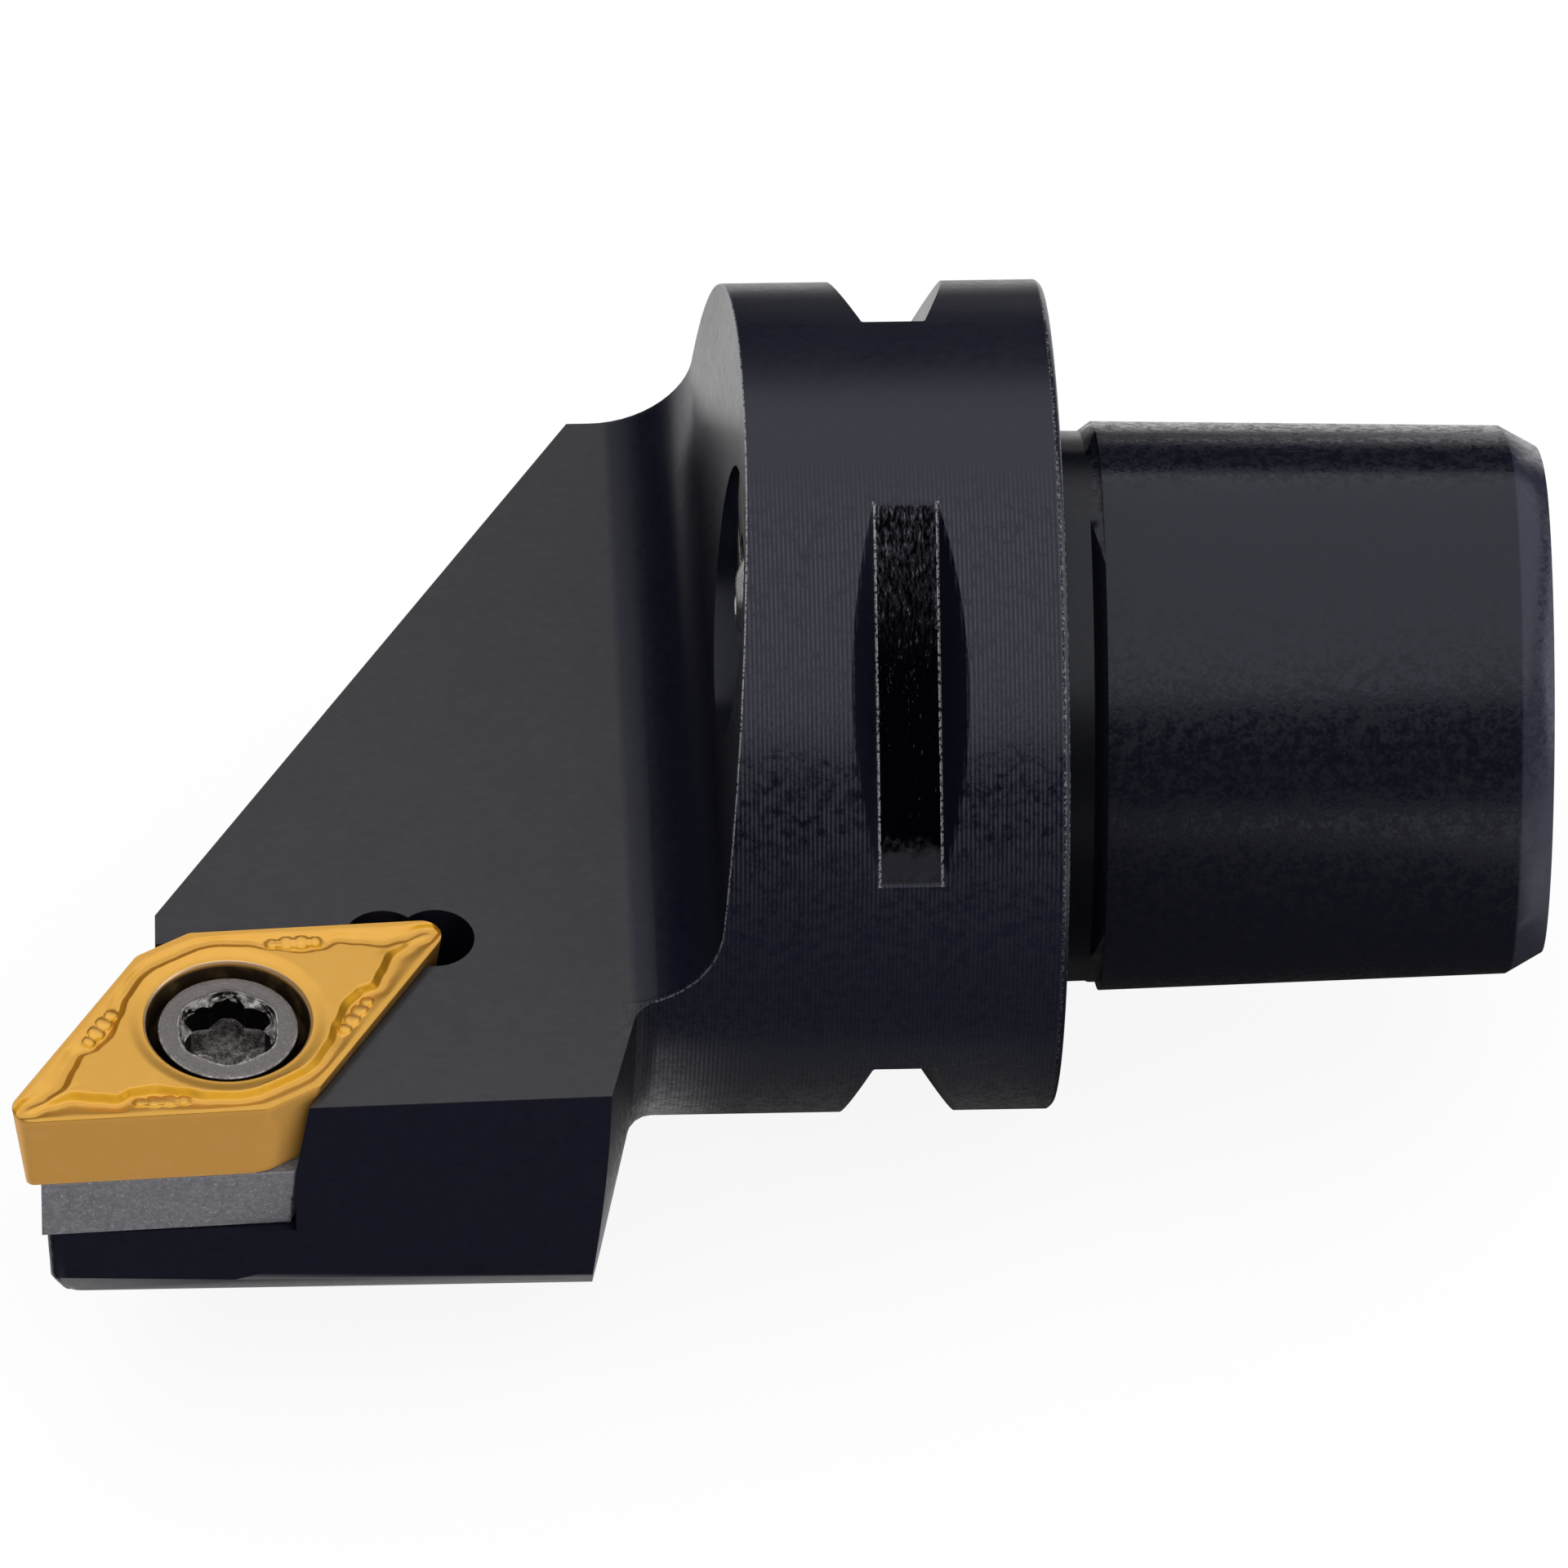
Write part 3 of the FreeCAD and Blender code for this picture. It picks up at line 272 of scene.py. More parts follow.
def goldCoating():
    look = insertLook
    made = Finish("goldCoating")
    spot = made.place()
    x, y, z = made.split(spot)
    speck = made.grain(spot, 0.06 * mm, 3, 0.6)
    cloud = made.grain(spot, 0.9 * mm, 3, 0.5)
    up = made.facing()[2]
    above = made.band(up, 0.25, 0.5)
    flat = made.band(up, 0.80, 0.97)
    # painted shade: the sloping walls of the chip former take a darker tone than the flat top
    tone = made.blend(flat, look["recessShade"], look["top"])
    tone = made.blend(above, look["side"], tone)
    shade = made.band(made.facing()[0], 0.40, 0.80) * (1 - above)
    tone = made.blend(shade * 0.8, tone, look["shade"])
    around = made.split(made.place(centre=insertPlace * mm))
    reach = (around[0] ** 2 + around[1] ** 2) ** 0.5
    # darker inside the hole: partly the thinner coating there, partly painted shade
    inHole = (1 - made.band(reach, 3.11 * mm, 3.15 * mm)) * (1 - made.band(z, -0.30 * mm, 0.0 * mm))
    tone = made.blend(inHole, tone, look["hole"])
    # painted highlight: a light line around the hole's rim
    rim = made.band(reach, 3.12 * mm, 3.15 * mm) * (1 - made.band(reach, 3.18 * mm, 3.21 * mm))
    tone = made.blend(rim * 0.75, tone, look["rim"])
    tone = made.blend(made.band(speck, 0.64, 0.78) * 0.22, tone, look["specks"])
    tone = made.blend(made.band(cloud, 0.45, 0.8) * 0.12, tone, look["clouds"])
    rough = look["rough"] + (speck - 0.5) * 0.16
    relief = made.relief(speck, 0.003 * mm)
    return made.set(Base_Color=tone, Roughness=rough, Metallic=0.5 + above * 0.35, Normal=relief)


def satinSteel(name, colour, dark, rough, speck, amount, metal=1.0):
    made = Finish(name)
    spot = made.place()
    coarse = made.grain(spot, speck, 4, 0.7)
    fine = made.grain(spot, speck * 0.35, 3, 0.6)
    tone = made.blend(made.band(coarse, 0.38, 0.66), dark, colour)
    tone = made.blend(made.band(fine, 0.62, 0.72) * amount, tone, (0.75, 0.75, 0.77))
    relief = made.relief(coarse * 0.6 + fine * 0.4, 0.006 * mm)
    return made.set(Base_Color=tone, Roughness=rough + (coarse - 0.5) * 0.25, Metallic=metal,
                    Normal=relief)


def turnedSteel(name, colour, rough, pitch, centre):
    # fine rings about an axis along X
    made = Finish(name)
    spot = made.place(centre=centre)
    x, y, z = made.split(spot)
    radius = (y * y + z * z) ** 0.5
    rings = radius.calc("SINE", radius * (2 * math.pi / pitch))
    grain = made.grain(spot, 0.15 * mm, 4, 0.6)
    tone = made.blend(made.band(grain, 0.35, 0.7), [c * 0.6 for c in colour], colour)
    relief = made.relief(rings * 0.6 + grain * 0.4, 0.004 * mm)
    return made.set(Base_Color=tone, Roughness=rough + (grain - 0.5) * 0.2, Metallic=1.0,
                    Normal=relief)


def sealRubber():
    made = Finish("sealRubber")
    spot = made.place()
    grain = made.grain(spot, 0.2 * mm, 4, 0.6)
    tone = made.blend(grain, (0.008, 0.008, 0.008), (0.03, 0.03, 0.03))
    return made.set(Base_Color=tone, Roughness=0.55 + grain * 0.2,
                    Normal=made.relief(grain, 0.01 * mm))


# Building pieces
def addPiece(name, mesh, body, slot, material, *replaced, sharpFrom=32):
    piece = bpy.data.objects.new(name, mesh)
    bpy.context.scene.collection.objects.link(piece)
    mesh.polygons.foreach_set("use_smooth", [True] * len(mesh.polygons))
    mesh.set_sharp_from_angle(angle=math.radians(sharpFrom))
    facing = mesh.attributes.new("facing", "FLOAT_VECTOR", "CORNER")
    facing.data.foreach_set("vector", [part for corner in mesh.corner_normals
                                       for part in corner.vector])
    mesh.materials.clear()
    mesh.materials.append(material)
    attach(piece, body)
    if replaced:
        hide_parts(*replaced)
    print(name, len(mesh.polygons), "faces")
    return piece


def steadyShading(piece):
    weigh = piece.modifiers.new("steadyShading", "WEIGHTED_NORMAL")
    weigh.keep_sharp = True
    weigh.weight = 80


def softenedCopy(node, rounds, reshape=None, isFlat=lambda edge: True):
    # the CAD mesh with its sharp edges rounded: each round is (test, width, segments, worn), worn
    # being bare steel that is partly real wear and partly a painted highlight
    solid = bmesh.new()
    solid.from_mesh(nodes[node].data)
    bmesh.ops.remove_doubles(solid, verts=solid.verts, dist=mergeWithin)
    bmesh.ops.dissolve_limit(solid, angle_limit=math.radians(0.4), verts=solid.verts,
                             edges=[edge for edge in solid.edges if isFlat(edge)])
    if reshape:
        reshape(solid)
    wear = solid.faces.layers.float.new("worn")
    for test, width, segments, worn in rounds:
        chosen = [edge for edge in solid.edges if len(edge.link_faces) == 2
                  and edge.calc_face_angle(0) > math.radians(24) and test(edge)]
        if chosen:
            fresh = bmesh.ops.bevel(solid, geom=chosen, offset=width, offset_type="OFFSET",
                                    affect="EDGES", segments=segments, profile=0.5, material=-1,
                                    clamp_overlap=True)["faces"]
            for face in fresh:
                if face.is_valid:
                    face[wear] = worn
    bmesh.ops.dissolve_degenerate(solid, dist=mergeWithin, edges=solid.edges)
    mesh = bpy.data.meshes.new(node + "Mesh")
    solid.to_mesh(mesh)
    solid.free()
    if "custom_normal" in mesh.attributes:
        mesh.attributes.remove(mesh.attributes["custom_normal"])
    return mesh


def ringStack(count, rings):
    # closed rings of points, joined one to the next; the first and the last meet
    solid = bmesh.new()
    made = bmesh.ops.create_circle(solid, segments=count, radius=1)
    verts = made["verts"]
    for vert, point in zip(verts, rings[0]):
        vert.co = point
    loop = solid.edges[:]
    index = {vert: spot for spot, vert in enumerate(verts)}
    for ring in rings[1:]:
        grown = bmesh.ops.extrude_edge_only(solid, edges=loop)["geom"]
        fresh = [item for item in grown if isinstance(item, bmesh.types.BMVert)]
        loop = [item for item in grown if isinstance(item, bmesh.types.BMEdge)
                and item.verts[0] in fresh and item.verts[1] in fresh]
        passedOn = {}
        for vert in fresh:
            below = next(edge.other_vert(vert) for edge in vert.link_edges
                         if edge.other_vert(vert) in index)
            passedOn[vert] = index[below]
        for vert, spot in passedOn.items():
            vert.co = ring[spot]
        index = passedOn
    bmesh.ops.remove_doubles(solid, verts=solid.verts, dist=0.0002 * mm)
    bmesh.ops.recalc_face_normals(solid, faces=solid.faces)
    return solid


def toMesh(solid, name, matrix=None):
    mesh = bpy.data.meshes.new(name)
    if matrix:
        bmesh.ops.transform(solid, matrix=matrix, verts=solid.verts)
    solid.to_mesh(mesh)
    solid.free()
    return mesh


def smoothStep(low, high, value):
    share = min(1.0, max(0.0, (value - low) / (high - low)))
    return share * share * (3 - 2 * share)


# Holder: the CAD body with its edges rounded, worn and given painted highlight lines
support = {
    "endNormal": (-0.848, 0.530, 0.0),
    "underNormal": (0.0, -0.252, -0.968),
    "endReach": 21.93,
    "underReach": 16.0,
    "round": 0.78,
    "steps": 9,
    "innerEnd": -13.9,
}


def roundSupport(solid):
    # cut loops beside the end face, then lift them onto a quarter round
    ahead = Vector(support["endNormal"])
    down = Vector(support["underNormal"])
    radius = support["round"]
    start = support["endReach"] - radius
    for step in range(support["steps"]):
        reach = start + radius * math.sin(math.pi / 2 * step / support["steps"])
        low = [face for face in solid.faces if all(vert.co.z < -7.0 * mm for vert in face.verts)
               and any(vert.co.y < support["innerEnd"] * mm for vert in face.verts)]
        low += list({edge for face in low for edge in face.edges})
        bmesh.ops.bisect_plane(solid, geom=low, dist=1e-8, plane_co=ahead * reach * mm,
                               plane_no=ahead)
    for vert in solid.verts:
        over = vert.co.dot(ahead) / mm - start
        if over > 0 and vert.co.z < -7.2 * mm and vert.co.y < support["innerEnd"] * mm:
            lift = radius - math.sqrt(max(0.0, radius ** 2 - min(over, radius) ** 2))
            room = support["underReach"] - vert.co.dot(down) / mm
            if room < lift:
                vert.co -= down * (lift - room) * mm


nozzle = {
    "centre": (-0.0094, -0.0042, 0.00945),
    "floor": 2.92,
    "chamber": 3.2,
    "room": 0.13,
}


def deepenChamber(solid):
    # the tilted ball's back rim swings 2.99 mm behind its centre
    for vert in solid.verts:
        away = (vert.co - Vector(nozzle["centre"])) / mm
        onFloor = nozzle["floor"] - 0.02 < away.x < nozzle["floor"] + 0.2
        if onFloor and away.yz.length < nozzle["chamber"]:
            vert.co.x += nozzle["room"] * mm


def reshapeHolder(solid):
    roundSupport(solid)
    deepenChamber(solid)


def slotFloor(edge):
    ends = [vert.co for vert in edge.verts]
    return all(abs(abs(end.x - keywayCentre) - keywayHalf) < 0.03 * mm for end in ends) \
        and edge.calc_length() > 3 * mm


def frontRim(edge):
    return edge.is_convex and all(
        vert.co.x < -11.8 * mm and abs(math.hypot(vert.co.y, vert.co.z) - flangeRadius) < 0.03 * mm
        for vert in edge.verts)


def flangeRim(edge):
    return edge.is_convex and all(
        vert.co.x > -0.6 * mm and math.hypot(vert.co.y, vert.co.z) > flangeRadius - 1.1 * mm
        for vert in edge.verts)


def outsideOfBody(edge):
    # the bore and the shank's end keep the CAD triangles
    middle = (edge.verts[0].co + edge.verts[1].co) / 2
    outsideBore = math.hypot(middle.y, middle.z) > boreReach
    return middle.x < 16.5 * mm and (outsideBore or middle.x < -16 * mm)


def outerEdge(edge):
    middle = (edge.verts[0].co + edge.verts[1].co) / 2
    inKeyway = abs(middle.x - keywayCentre) < keywayHalf - 0.1 * mm and abs(middle.y) > 0.1 * mm
    if inKeyway or middle.x > 17 * mm:
        return False
    inBore = math.hypot(middle.y, middle.z) < boreReach and middle.x > -15 * mm
    inBore = inBore and middle.z < 8 * mm
    return edge.is_convex and not inBore and edge.calc_length() > shortest


# test, width of the round, segments, wear (real wear, and a painted highlight on the slot floor's
# edges and the front rim)
holderRounds = [
    (slotFloor, 0.07 * mm, 2, 0.32),
    (frontRim, 0.07 * mm, 2, 0.35),
    (flangeRim, 0.07 * mm, 2, 0.12),
    (outerEdge, 0.06 * mm, 2, 0.1),
]
holderMesh = softenedCopy("holder_body", holderRounds, reshapeHolder, outsideOfBody)
steadyShading(addPiece("holderBody", holderMesh, "holder", "holder_body", blackedSteel(),
                       "holder_body"))

# Insert: chip former pressed into the top, ground sides
insert = {
    "circle": 9.525,
    "point": 55.0,
    "nose": 0.8,
    "facet": 2.35,
    "facetNose": 0.5,
    "lowNose": 3.0,
    "thick": 3.97,
    "clearance": 7.0,
    "turn": 30.5,
    "sink": 6.3,
    "hole": 4.4,
    "land": 0.19,
    "floor": -0.13,
    "plateau": 0.12,
    "wallHalf": 0.15,
    "bump": 0.13,
    # chip wall: distance from the edge against the distance along it from the sharp corner
    "wall": [(1.4, 0.66), (2.2, 1.05), (3.0, 1.28), (4.0, 1.10), (4.7, 0.97), (5.3, 1.28),
             (6.1, 1.38), (7.2, 1.15), (8.2, 0.87), (9.4, 0.74), (10.4, 0.86), (11.7, 1.0)],
    "bumps": [(5.55, 0.27), (6.08, 0.34), (6.66, 0.34), (7.2, 0.28)],
    "bumpLine": 0.80,
}
halfPoint = math.radians(insert["point"] / 2)
cornerReach = insert["circle"] / 2 / math.sin(halfPoint)
noseToCentre = (insert["circle"] / 2 - insert["nose"]) / math.sin(halfPoint)
facetReach = cornerReach * math.tan(halfPoint) - insert["facet"] / 2 * math.tan(halfPoint)
insertTurn = math.radians(insert["turn"])
insertPlace = Vector((-40 + insert["nose"] + noseToCentre * math.cos(insertTurn),
                      -22 + insert["nose"] + noseToCentre * math.sin(insertTurn), 0))
insertMatrix = Matrix.Translation(insertPlace * mm) @ Matrix.Rotation(insertTurn, 4, "Z")


def roundedOutline(corners, runs):
    # corners: (x, y, radius, steps) anticlockwise; returns points with outward normals
    rounded = []
    for spot, (x, y, radius, steps) in enumerate(corners):
        here = Vector((x, y, 0))
        before = (Vector((*corners[spot - 1][:2], 0)) - here).normalized()
        after = (Vector((*corners[(spot + 1) % len(corners)][:2], 0)) - here).normalized()
        half = before.angle(after) / 2
        centre = here + (before + after).normalized() * (radius / math.sin(half))
        start = math.atan2(before.x, -before.y)
        normals = [start + (math.pi - 2 * half) * step / (steps - 1) for step in range(steps)]
        rounded.append([(centre + Vector((math.cos(a), math.sin(a), 0)) * radius,
                         Vector((math.cos(a), math.sin(a), 0))) for a in normals])
    points = []
    for spot, arc in enumerate(rounded):
        points += arc
        start, normal = arc[-1]
        end = rounded[(spot + 1) % len(rounded)][0][0]
        run = runs[spot % len(runs)]
        points += [(start.lerp(end, step / run), normal) for step in range(1, run)]
    return points


def wallDistance(along):
    knots = insert["wall"]
    for (s0, d0), (s1, d1) in zip(knots, knots[1:]):
        if along <= s1:
            return d0 + (d1 - d0) * smoothStep(s0, s1, along)
    return knots[-1][1]


def insertHeight(point):
    # the four edges are alike: fold the point into one quarter
    x, y = abs(point.x), abs(point.y)
    toEdge = (cornerReach - x) * math.sin(halfPoint) - y * math.cos(halfPoint)
    along = (cornerReach - x) * math.cos(halfPoint) + y * math.sin(halfPoint)
    toFacet = facetReach - y
    near = max(0.0, 1 - abs(toEdge - toFacet) / 1.2)
    toEdge = max(0.0, min(toEdge, toFacet) - 0.12 * near * near)
    wall = wallDistance(along)
    depth = insert["floor"] * (0.55 + 0.45 * smoothStep(8.6, 7.4, along))
    dip = smoothStep(insert["land"], max(insert["land"] + 0.15, wall - 0.35), toEdge)
    wide = insert["wallHalf"] * (0.55 + 0.45 * smoothStep(1.4, 3.2, along))
    rise = min(1.0, max(0.0, (toEdge - wall + wide) / (2 * wide)))
    rise = rise * 0.7 + smoothStep(0, 1, rise) * 0.3
    crown = depth * 0.6 + (insert["plateau"] - depth * 0.6) * smoothStep(1.35, 3.5, along)
    height = depth * dip * (1 - rise) + crown * rise
    for place, radius in insert["bumps"]:
        away = math.hypot(along - place, toEdge - insert["bumpLine"]) / radius
        if away < 1:
            height = max(height, depth * dip + insert["bump"] * math.sqrt(1 - away * away))
    rim = smoothStep(0.7, 0.1, point.length - insert["sink"] / 2)
    return height + (0.02 - height) * rim * smoothStep(wall, wall + 0.3, toEdge)


def aroundHole(outline, radius, height):
    return [Vector((p.x, p.y, 0)).normalized() * radius * mm + Vector((0, 0, height * mm))
            for p, normal in outline]


def sideRing(outline, height, inset=0.0, low=None):
    # low is the softer outline that the sides blend to below the edge
    taper = math.tan(math.radians(insert["clearance"]))
    share = smoothStep(-0.1, -1.6, height)
    ring = []
    for (p, normal), (q, other) in zip(outline, low or outline):
        point = p.lerp(q, share) - normal.lerp(other, share).normalized() * (inset - height * taper)
        ring.append((point + Vector((0, 0, height))) * mm)
    return ring


def buildInsert():
    facet = insert["facet"] / 2
    corners = [(cornerReach, 0, insert["nose"], 24), (facet, facetReach, insert["facetNose"], 9),
               (-facet, facetReach, insert["facetNose"], 9)]
    corners += [(-x, -y, radius, steps) for x, y, radius, steps in corners]
    outline = roundedOutline(corners, [74, 12, 74])
    low = roundedOutline([(x, y, insert["lowNose"] if abs(x) < facet + 1 else radius, steps)
                          for x, y, radius, steps in corners], [74, 12, 74])
    bottom = -insert["thick"]
    bore = insert["hole"] / 2
    mouth = insert["sink"] / 2
    rings = [aroundHole(outline, bore, bottom), aroundHole(outline, bore + 0.1, bottom),
             sideRing(outline, bottom, 0.06, low), sideRing(outline, bottom + 0.06, 0, low)]
    rings += [sideRing(outline, bottom + 0.06 + (insert["thick"] - 0.09) * step / 14, 0, low)
              for step in range(1, 15)]
    rings.append(sideRing(outline, 0.0, 0.025))
    steps = 100
    for step in range(1, steps + 1):
        share = 1 - (1 - step / steps) ** 1.1
        ring = []
        for p, normal in outline:
            spot = (p - normal * 0.03).lerp(p.normalized() * (mouth + 0.09), share)
            ring.append(Vector((spot.x, spot.y, insertHeight(spot))) * mm)
        rings.append(ring)
    rings += [aroundHole(outline, mouth + 0.04, 0.0), aroundHole(outline, mouth, -0.06),
              aroundHole(outline, mouth - 0.03, -0.14),
              aroundHole(outline, mouth - 0.10, -1.3), aroundHole(outline, mouth - 0.25, -1.42),
              aroundHole(outline, bore + 0.22, -1.55), aroundHole(outline, bore, -2.05),
              aroundHole(outline, bore, bottom)]
    return toMesh(ringStack(len(outline), rings), "insertMesh", insertMatrix)


addPiece("insertBody", buildInsert(), "insert", "insert", goldCoating(), "insert", sharpFrom=44)

# Shim: upright outer end, fine sintered sides
shim = {
    "thick": 3.18,
    "nose": 0.45,
    "obtuse": 0.75,
    "front": -38.95,
    "hole": 2.6,
    "sink": 3.2,
    "sinkDepth": 1.35,
}


def buildShim():
    obtuse = cornerReach * math.tan(halfPoint)
    corners = [(cornerReach, 0, insert["nose"] + 0.15, 16), (0, obtuse, shim["obtuse"], 10)]
    corners += [(-x, -y, radius, steps) for x, y, radius, steps in corners]
    outline = roundedOutline(corners, [30])
    top = -insert["thick"]
    bottom = top - shim["thick"]
    rings = [aroundHole(outline, shim["hole"], bottom), sideRing(outline, bottom, 0.06),
             sideRing(outline, bottom + 0.06), sideRing(outline, (top + bottom) / 2),
             sideRing(outline, top - 0.05), sideRing(outline, top, 0.05),
             aroundHole(outline, shim["sink"], top),
             aroundHole(outline, shim["sink"], top - shim["sinkDepth"]),
             aroundHole(outline, shim["hole"], top - shim["sinkDepth"] - 0.6),
             aroundHole(outline, shim["hole"], bottom)]
    solid = ringStack(len(outline), rings)
    bmesh.ops.transform(solid, matrix=insertMatrix, verts=solid.verts)
    cut = bmesh.ops.bisect_plane(solid, geom=solid.verts[:] + solid.edges[:] + solid.faces[:],
                                 dist=1e-7, plane_co=(shim["front"] * mm, 0, 0),
                                 plane_no=(-1, 0, 0), clear_outer=True)
    rim = [item for item in cut["geom_cut"] if isinstance(item, bmesh.types.BMEdge)]
    bmesh.ops.holes_fill(solid, edges=rim, sides=0)
    bmesh.ops.recalc_face_normals(solid, faces=solid.faces)
    return toMesh(solid, "shimMesh")


shimSteel = satinSteel("shimCarbide", (0.205, 0.203, 0.215), (0.140, 0.140, 0.152), 0.46,
                       0.20 * mm, 0.8, metal=0.2)
addPiece("shimPlate", buildShim(), "shim", "shim", shimSteel, "shim")

# Insert screw: six-lobe socket with a worn chamfer, countersunk head, thread
screw = {
    "head": 5.34,
    "rim": 0.45,
    "top": -0.4,
    "length": 10.0,
    "thread": 3.5,
    "pitch": 0.6,
    "threadDepth": 0.33,
    "between": 1.44,
    "lobe": 0.40,
    "mouth": 1.84,
    "mouthLobe": 0.12,
    "lip": 0.012,
    "socketDepth": 1.35,
    "worn": 0.085,
}


def buildScrew():
    count = 216
    top = screw["top"]
    angles = [2 * math.pi * spot / count for spot in range(count)]

    def ring(radiusAt, heightAt):
        return [Vector((radiusAt(a) * math.cos(a), radiusAt(a) * math.sin(a), heightAt(a))) * mm
                for a in angles]

    def even(radius, height):
        return ring(lambda a: radius, lambda a: height)

    def wear(a, depth):
        place = Vector((math.cos(a) * 2.2, math.sin(a) * 2.2, depth * 3))
        return noise.noise(place * 1.9) * screw["worn"]

    def towardsLobe(a):
        return 0.5 + 0.5 * math.cos(6 * a)

    def mouth(a):
        return screw["mouth"] + screw["mouthLobe"] * towardsLobe(a) + wear(a, 0) * 0.4

    def socket(a):
        return screw["between"] + screw["lobe"] * towardsLobe(a) ** 0.7

    head = screw["head"] / 2
    core = screw["thread"] / 2
    cone = (head - core) / math.tan(math.radians(26.5))
    foot = top - screw["length"]
    shoulder = top - screw["rim"]
    rings = [even(0.001, foot), even(core - 0.4, foot)]
    for turn in range(int((screw["length"] - screw["rim"] - cone - 1.0) / screw["pitch"])):
        base = foot + 0.45 + turn * screw["pitch"]
        for share, inset in ((0.0, screw["threadDepth"]), (0.12, screw["threadDepth"]),
                             (0.45, 0.03), (0.62, 0.03)):
            rings.append(even(core - inset, base + share * screw["pitch"]))
    rings += [even(core - 0.02, shoulder - cone - 0.2), even(core - 0.02, shoulder - cone),
              even(head - 0.03, shoulder - 0.03), even(head, shoulder + 0.05)]
    rings += [even(head - 0.09 + 0.09 * math.cos(bend), top - 0.09 + 0.09 * math.sin(bend))
              for bend in (0.0, 0.55, 1.1, math.pi / 2)]
    for share in (0.3, 0.6, 0.85, 1.0):
        rings.append(ring(lambda a, s=share: (head - 0.09) * (1 - s) + (mouth(a) + 0.07) * s,
                          lambda a: top))
    rings.append(ring(lambda a: mouth(a) + 0.035, lambda a: top + screw["lip"]))
    rings.append(ring(mouth, lambda a: top + screw["lip"] * 0.8))
    rings.append(ring(lambda a: mouth(a) - 0.03, lambda a: top - 0.03))
    for share in (0.2, 0.45, 0.7, 0.9, 1.0):
        rings.append(ring(lambda a, s=share: mouth(a) - 0.03 + (socket(a) - mouth(a)) * s
                          + wear(a, s) * 1.2 * s,
                          lambda a, s=share: top - 0.03 - (0.16 + 0.10 * towardsLobe(a)) * s
                          + wear(a, s + 2) * 1.3))
    for share in (0.06, 0.25, 0.5, 0.75, 0.95):
        rings.append(ring(lambda a, s=share: socket(a) - 0.05 + wear(a, 1 + s * 4) * 0.5,
                          lambda a, s=share: top - 0.26 - (screw["socketDepth"] - 0.26) * s))
    for share in (0.93, 0.75, 0.5, 0.25, 0.001):
        rings.append(ring(lambda a, s=share: (socket(a) - 0.05) * s,
                          lambda a, s=share: top - screw["socketDepth"] + 0.07 * noise.noise(
                              Vector((math.cos(a) * s * 3.5, math.sin(a) * s * 3.5, 4)))))
    solid = ringStack(count, rings)
    bmesh.ops.remove_doubles(solid, verts=solid.verts, dist=0.003 * mm)
    bmesh.ops.recalc_face_normals(solid, faces=solid.faces)
    return toMesh(solid, "insertScrewMesh", insertMatrix)


def screwSteel():
    made = Finish("screwSteel")
    spot = made.place()
    x, y, z = made.split(spot)
    up = made.facing()[2]
    fine = made.grain(spot, 0.055 * mm, 3, 0.7)
    coarse = made.grain(spot, 0.30 * mm, 4, 0.65)
    depth = made.band(z, (screw["top"] - 0.5) * mm, (screw["top"] - 0.15) * mm)
    wall = 1 - made.band(up, 0.25, 0.7)
    tone = made.blend(coarse, (0.135, 0.125, 0.122), (0.255, 0.235, 0.225))
    tone = made.blend(made.band(fine, 0.54, 0.66) * 0.6, tone, (0.07, 0.06, 0.06))
    tone = made.blend(made.band(fine, 0.30, 0.40), (0.45, 0.42, 0.41), tone)
    # painted shade: deeper in the socket the tone darkens
    recessShade = made.blend(made.band(fine * 0.5 + coarse * 0.5, 0.44, 0.58),
                      (0.035, 0.031, 0.030), (0.19, 0.175, 0.168))
    tone = made.blend(depth, recessShade, tone)
    # painted shade: the socket's steep walls go near black
    tone = made.blend(wall, tone, (0.006, 0.005, 0.005))
    # painted highlight: a light line on the raised lip around the socket
    lip = made.band(z, (screw["top"] + 0.002) * mm, (screw["top"] + 0.010) * mm)
    tone = made.blend(lip * made.band(coarse, 0.40, 0.60) * 0.45, tone, (0.75, 0.72, 0.70))
    # painted highlight on the upper slopes of the socket's chamfer
    slopeHighlight = made.band(up, 0.45, 0.75) * (1 - made.band(up, 0.93, 0.99)) * depth
    tone = made.blend(slopeHighlight * made.band(coarse, 0.42, 0.62) * 0.6, tone, (0.62, 0.59, 0.57))
    relief = made.relief(coarse * 0.6 + fine * 0.4, 0.006 * mm)
    return made.set(Base_Color=tone, Roughness=0.44 + (coarse - 0.5) * 0.25, Metallic=0.85,
                    Normal=relief)


addPiece("insertScrew", buildScrew(), "insert_screw", "insert_screw", screwSteel(), "insert_screw",
         sharpFrom=40)

# Shim screw and nozzle: CAD shapes with softened edges
anyEdge = [(lambda edge: edge.calc_length() > shortest and edge.is_convex, 0.05 * mm, 2, 1.0)]
steadyShading(addPiece("shimScrew", softenedCopy("shim_screw", anyEdge), "shim_screw", "shim_screw",
                       satinSteel("shimScrewSteel", (0.06, 0.06, 0.065), (0.03, 0.03, 0.03), 0.4,
                                  0.2 * mm, 0.1), "shim_screw"))
steadyShading(addPiece("nozzleRing", softenedCopy("nozzle_ring", anyEdge), "holder", "nozzle_ring",
                       turnedSteel("ringSteel", (0.30, 0.30, 0.31), 0.32, 0.09 * mm,
                                   nozzle["centre"]),
                       "nozzle_ring"))
steadyShading(addPiece("nozzleBall", softenedCopy("nozzle_ball", anyEdge), "nozzle_ball",
                       "nozzle_ball",
                       turnedSteel("ballSteel", (0.42, 0.42, 0.42), 0.25, 0.07 * mm,
                                   nozzle["centre"]),
                       "nozzle_ball"))
steadyShading(addPiece("nozzleSeal", softenedCopy("nozzle_seal", anyEdge), "holder", "nozzle_seal",
                       sealRubber(), "nozzle_seal"))
print("pieces built")

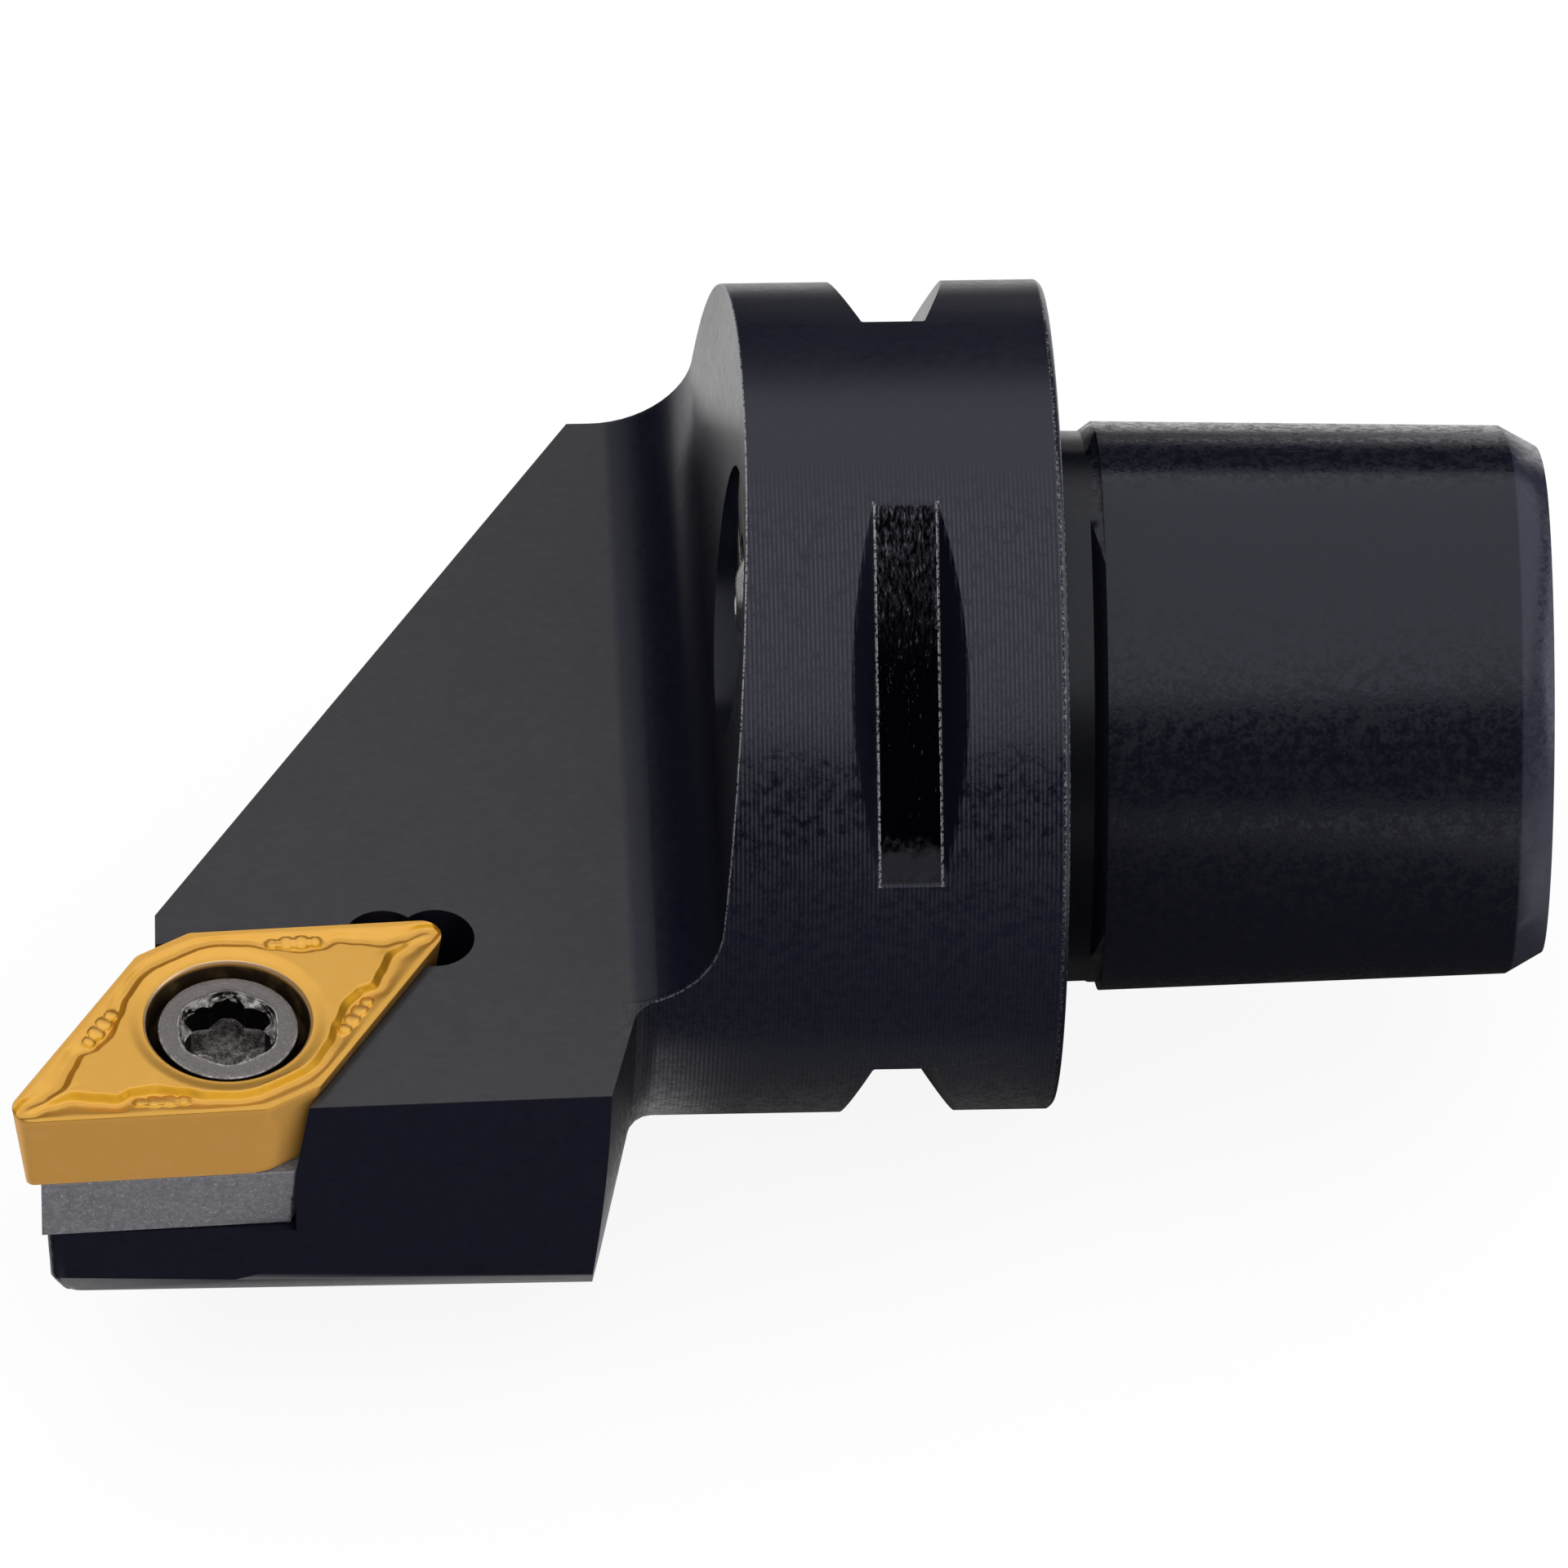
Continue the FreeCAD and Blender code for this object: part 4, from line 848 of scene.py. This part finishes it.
# Floor, world, lights and camera
studio = {
    "floor": -16.2 * mm,
    "floorSize": 3.0,
    "white": 1.0,
    "fill": (0.55, 0.55, 0.58),
    "mirrored": (0.012, 0.015, 0.030),
    "lamps": [
        # name, place, aims at, size, power
        ("overhead", (0, -0.15, 0.60), (0, -0.15, 0), (1.2, 1.75), 7.3),
        ("rightSide", (0.40, -0.05, 0.12), (0, -0.05, 0.12), (0.5, 0.26), 0.85),
    ],
    "cameraPlace": (-0.038135, -0.446937, 0.443480),
    "cameraTurn": (44.96513, -1.16401, -2.44071),
    "lens": 375.325,
}


def buildFloor():
    solid = bmesh.new()
    bmesh.ops.create_grid(solid, x_segments=1, y_segments=1, size=studio["floorSize"])
    bmesh.ops.translate(solid, vec=(0, 0, studio["floor"]), verts=solid.verts)
    floor = bpy.data.objects.new("floor", toMesh(solid, "floorMesh"))
    bpy.context.scene.collection.objects.link(floor)
    made = Finish("paleFloor")
    seen = made.add("ShaderNodeLightPath", output="Is Camera Ray")
    mirrored = made.add("ShaderNodeLightPath", output="Is Glossy Ray")
    # what the steel mirrors: bright floor under the head, behind and to the right
    x, y, z = made.split(made.place())
    under = made.band(y, -22.6 * mm, -20.6 * mm) * (1 - made.band(y, -12 * mm, -4 * mm))
    under = under * (1 - made.band(x, -16.5 * mm, -12 * mm) * 0.85)
    under = under * (1 - made.band(x, -2 * mm, 4 * mm))
    right = made.band(x, 22 * mm, 40 * mm) * (1 - made.band(x, 120 * mm, 200 * mm))
    behind = made.band(y, 14 * mm, 26 * mm) * (1 - made.band(y, 70 * mm, 110 * mm))
    mirror = 0.03 + under * 0.65 + behind * 0.9 + right * 0.8
    level = made.blend(mirrored, (1, 1, 1), made.blend(mirror, (0, 0, 0), (1, 1, 1)))
    glow = made.add("ShaderNodeEmission", None, level, studio["white"])
    made.set(Base_Color=(0.85, 0.85, 0.85, 1), Roughness=0.9)
    mixed = made.add("ShaderNodeMixShader", None, seen * 0.9 + mirrored,
                     Wire(made, made.shader.outputs[0]), glow)
    made.tree.links.new(mixed.socket, made.tree.nodes["Material Output"].inputs["Surface"])
    floor.data.materials.append(made.material)


def buildWorld():
    world = bpy.data.worlds.new("studio")
    bpy.context.scene.world = world
    world.use_nodes = True
    links = world.node_tree.links
    background = world.node_tree.nodes["Background"]
    path = world.node_tree.nodes.new("ShaderNodeLightPath")
    colour = (*studio["fill"], 1)
    for output, following in (("Is Glossy Ray", studio["mirrored"]), ("Is Camera Ray", (1, 1, 1))):
        mix = world.node_tree.nodes.new("ShaderNodeMix")
        mix.data_type = "RGBA"
        links.new(path.outputs[output], mix.inputs[0])
        if isinstance(colour, tuple):
            mix.inputs[6].default_value = colour
        else:
            links.new(colour, mix.inputs[6])
        mix.inputs[7].default_value = (*following, 1)
        colour = mix.outputs[2]
    links.new(colour, background.inputs["Color"])
    background.inputs["Strength"].default_value = studio["white"]


def buildLamps():
    for name, place, target, size, power in studio["lamps"]:
        lamp = bpy.data.lights.new(name, "AREA")
        lamp.shape = "RECTANGLE"
        lamp.size, lamp.size_y = size
        lamp.energy = power
        lampObject = bpy.data.objects.new(name, lamp)
        lampObject.location = place
        aim = Vector(target) - Vector(place)
        lampObject.rotation_euler = aim.to_track_quat("-Z", "Y").to_euler()
        bpy.context.scene.collection.objects.link(lampObject)


def buildCamera():
    lens = bpy.data.cameras.new("camera")
    lens.lens = studio["lens"]
    lens.sensor_width = 36
    lens.clip_start = 0.01
    camera = bpy.data.objects.new("camera", lens)
    camera.location = studio["cameraPlace"]
    camera.rotation_euler = Euler([math.radians(angle) for angle in studio["cameraTurn"]])
    bpy.context.scene.collection.objects.link(camera)
    bpy.context.scene.camera = camera


buildFloor()
buildWorld()
buildLamps()
buildCamera()
bpy.context.scene.view_settings.view_transform = "Standard"
print("studio built")
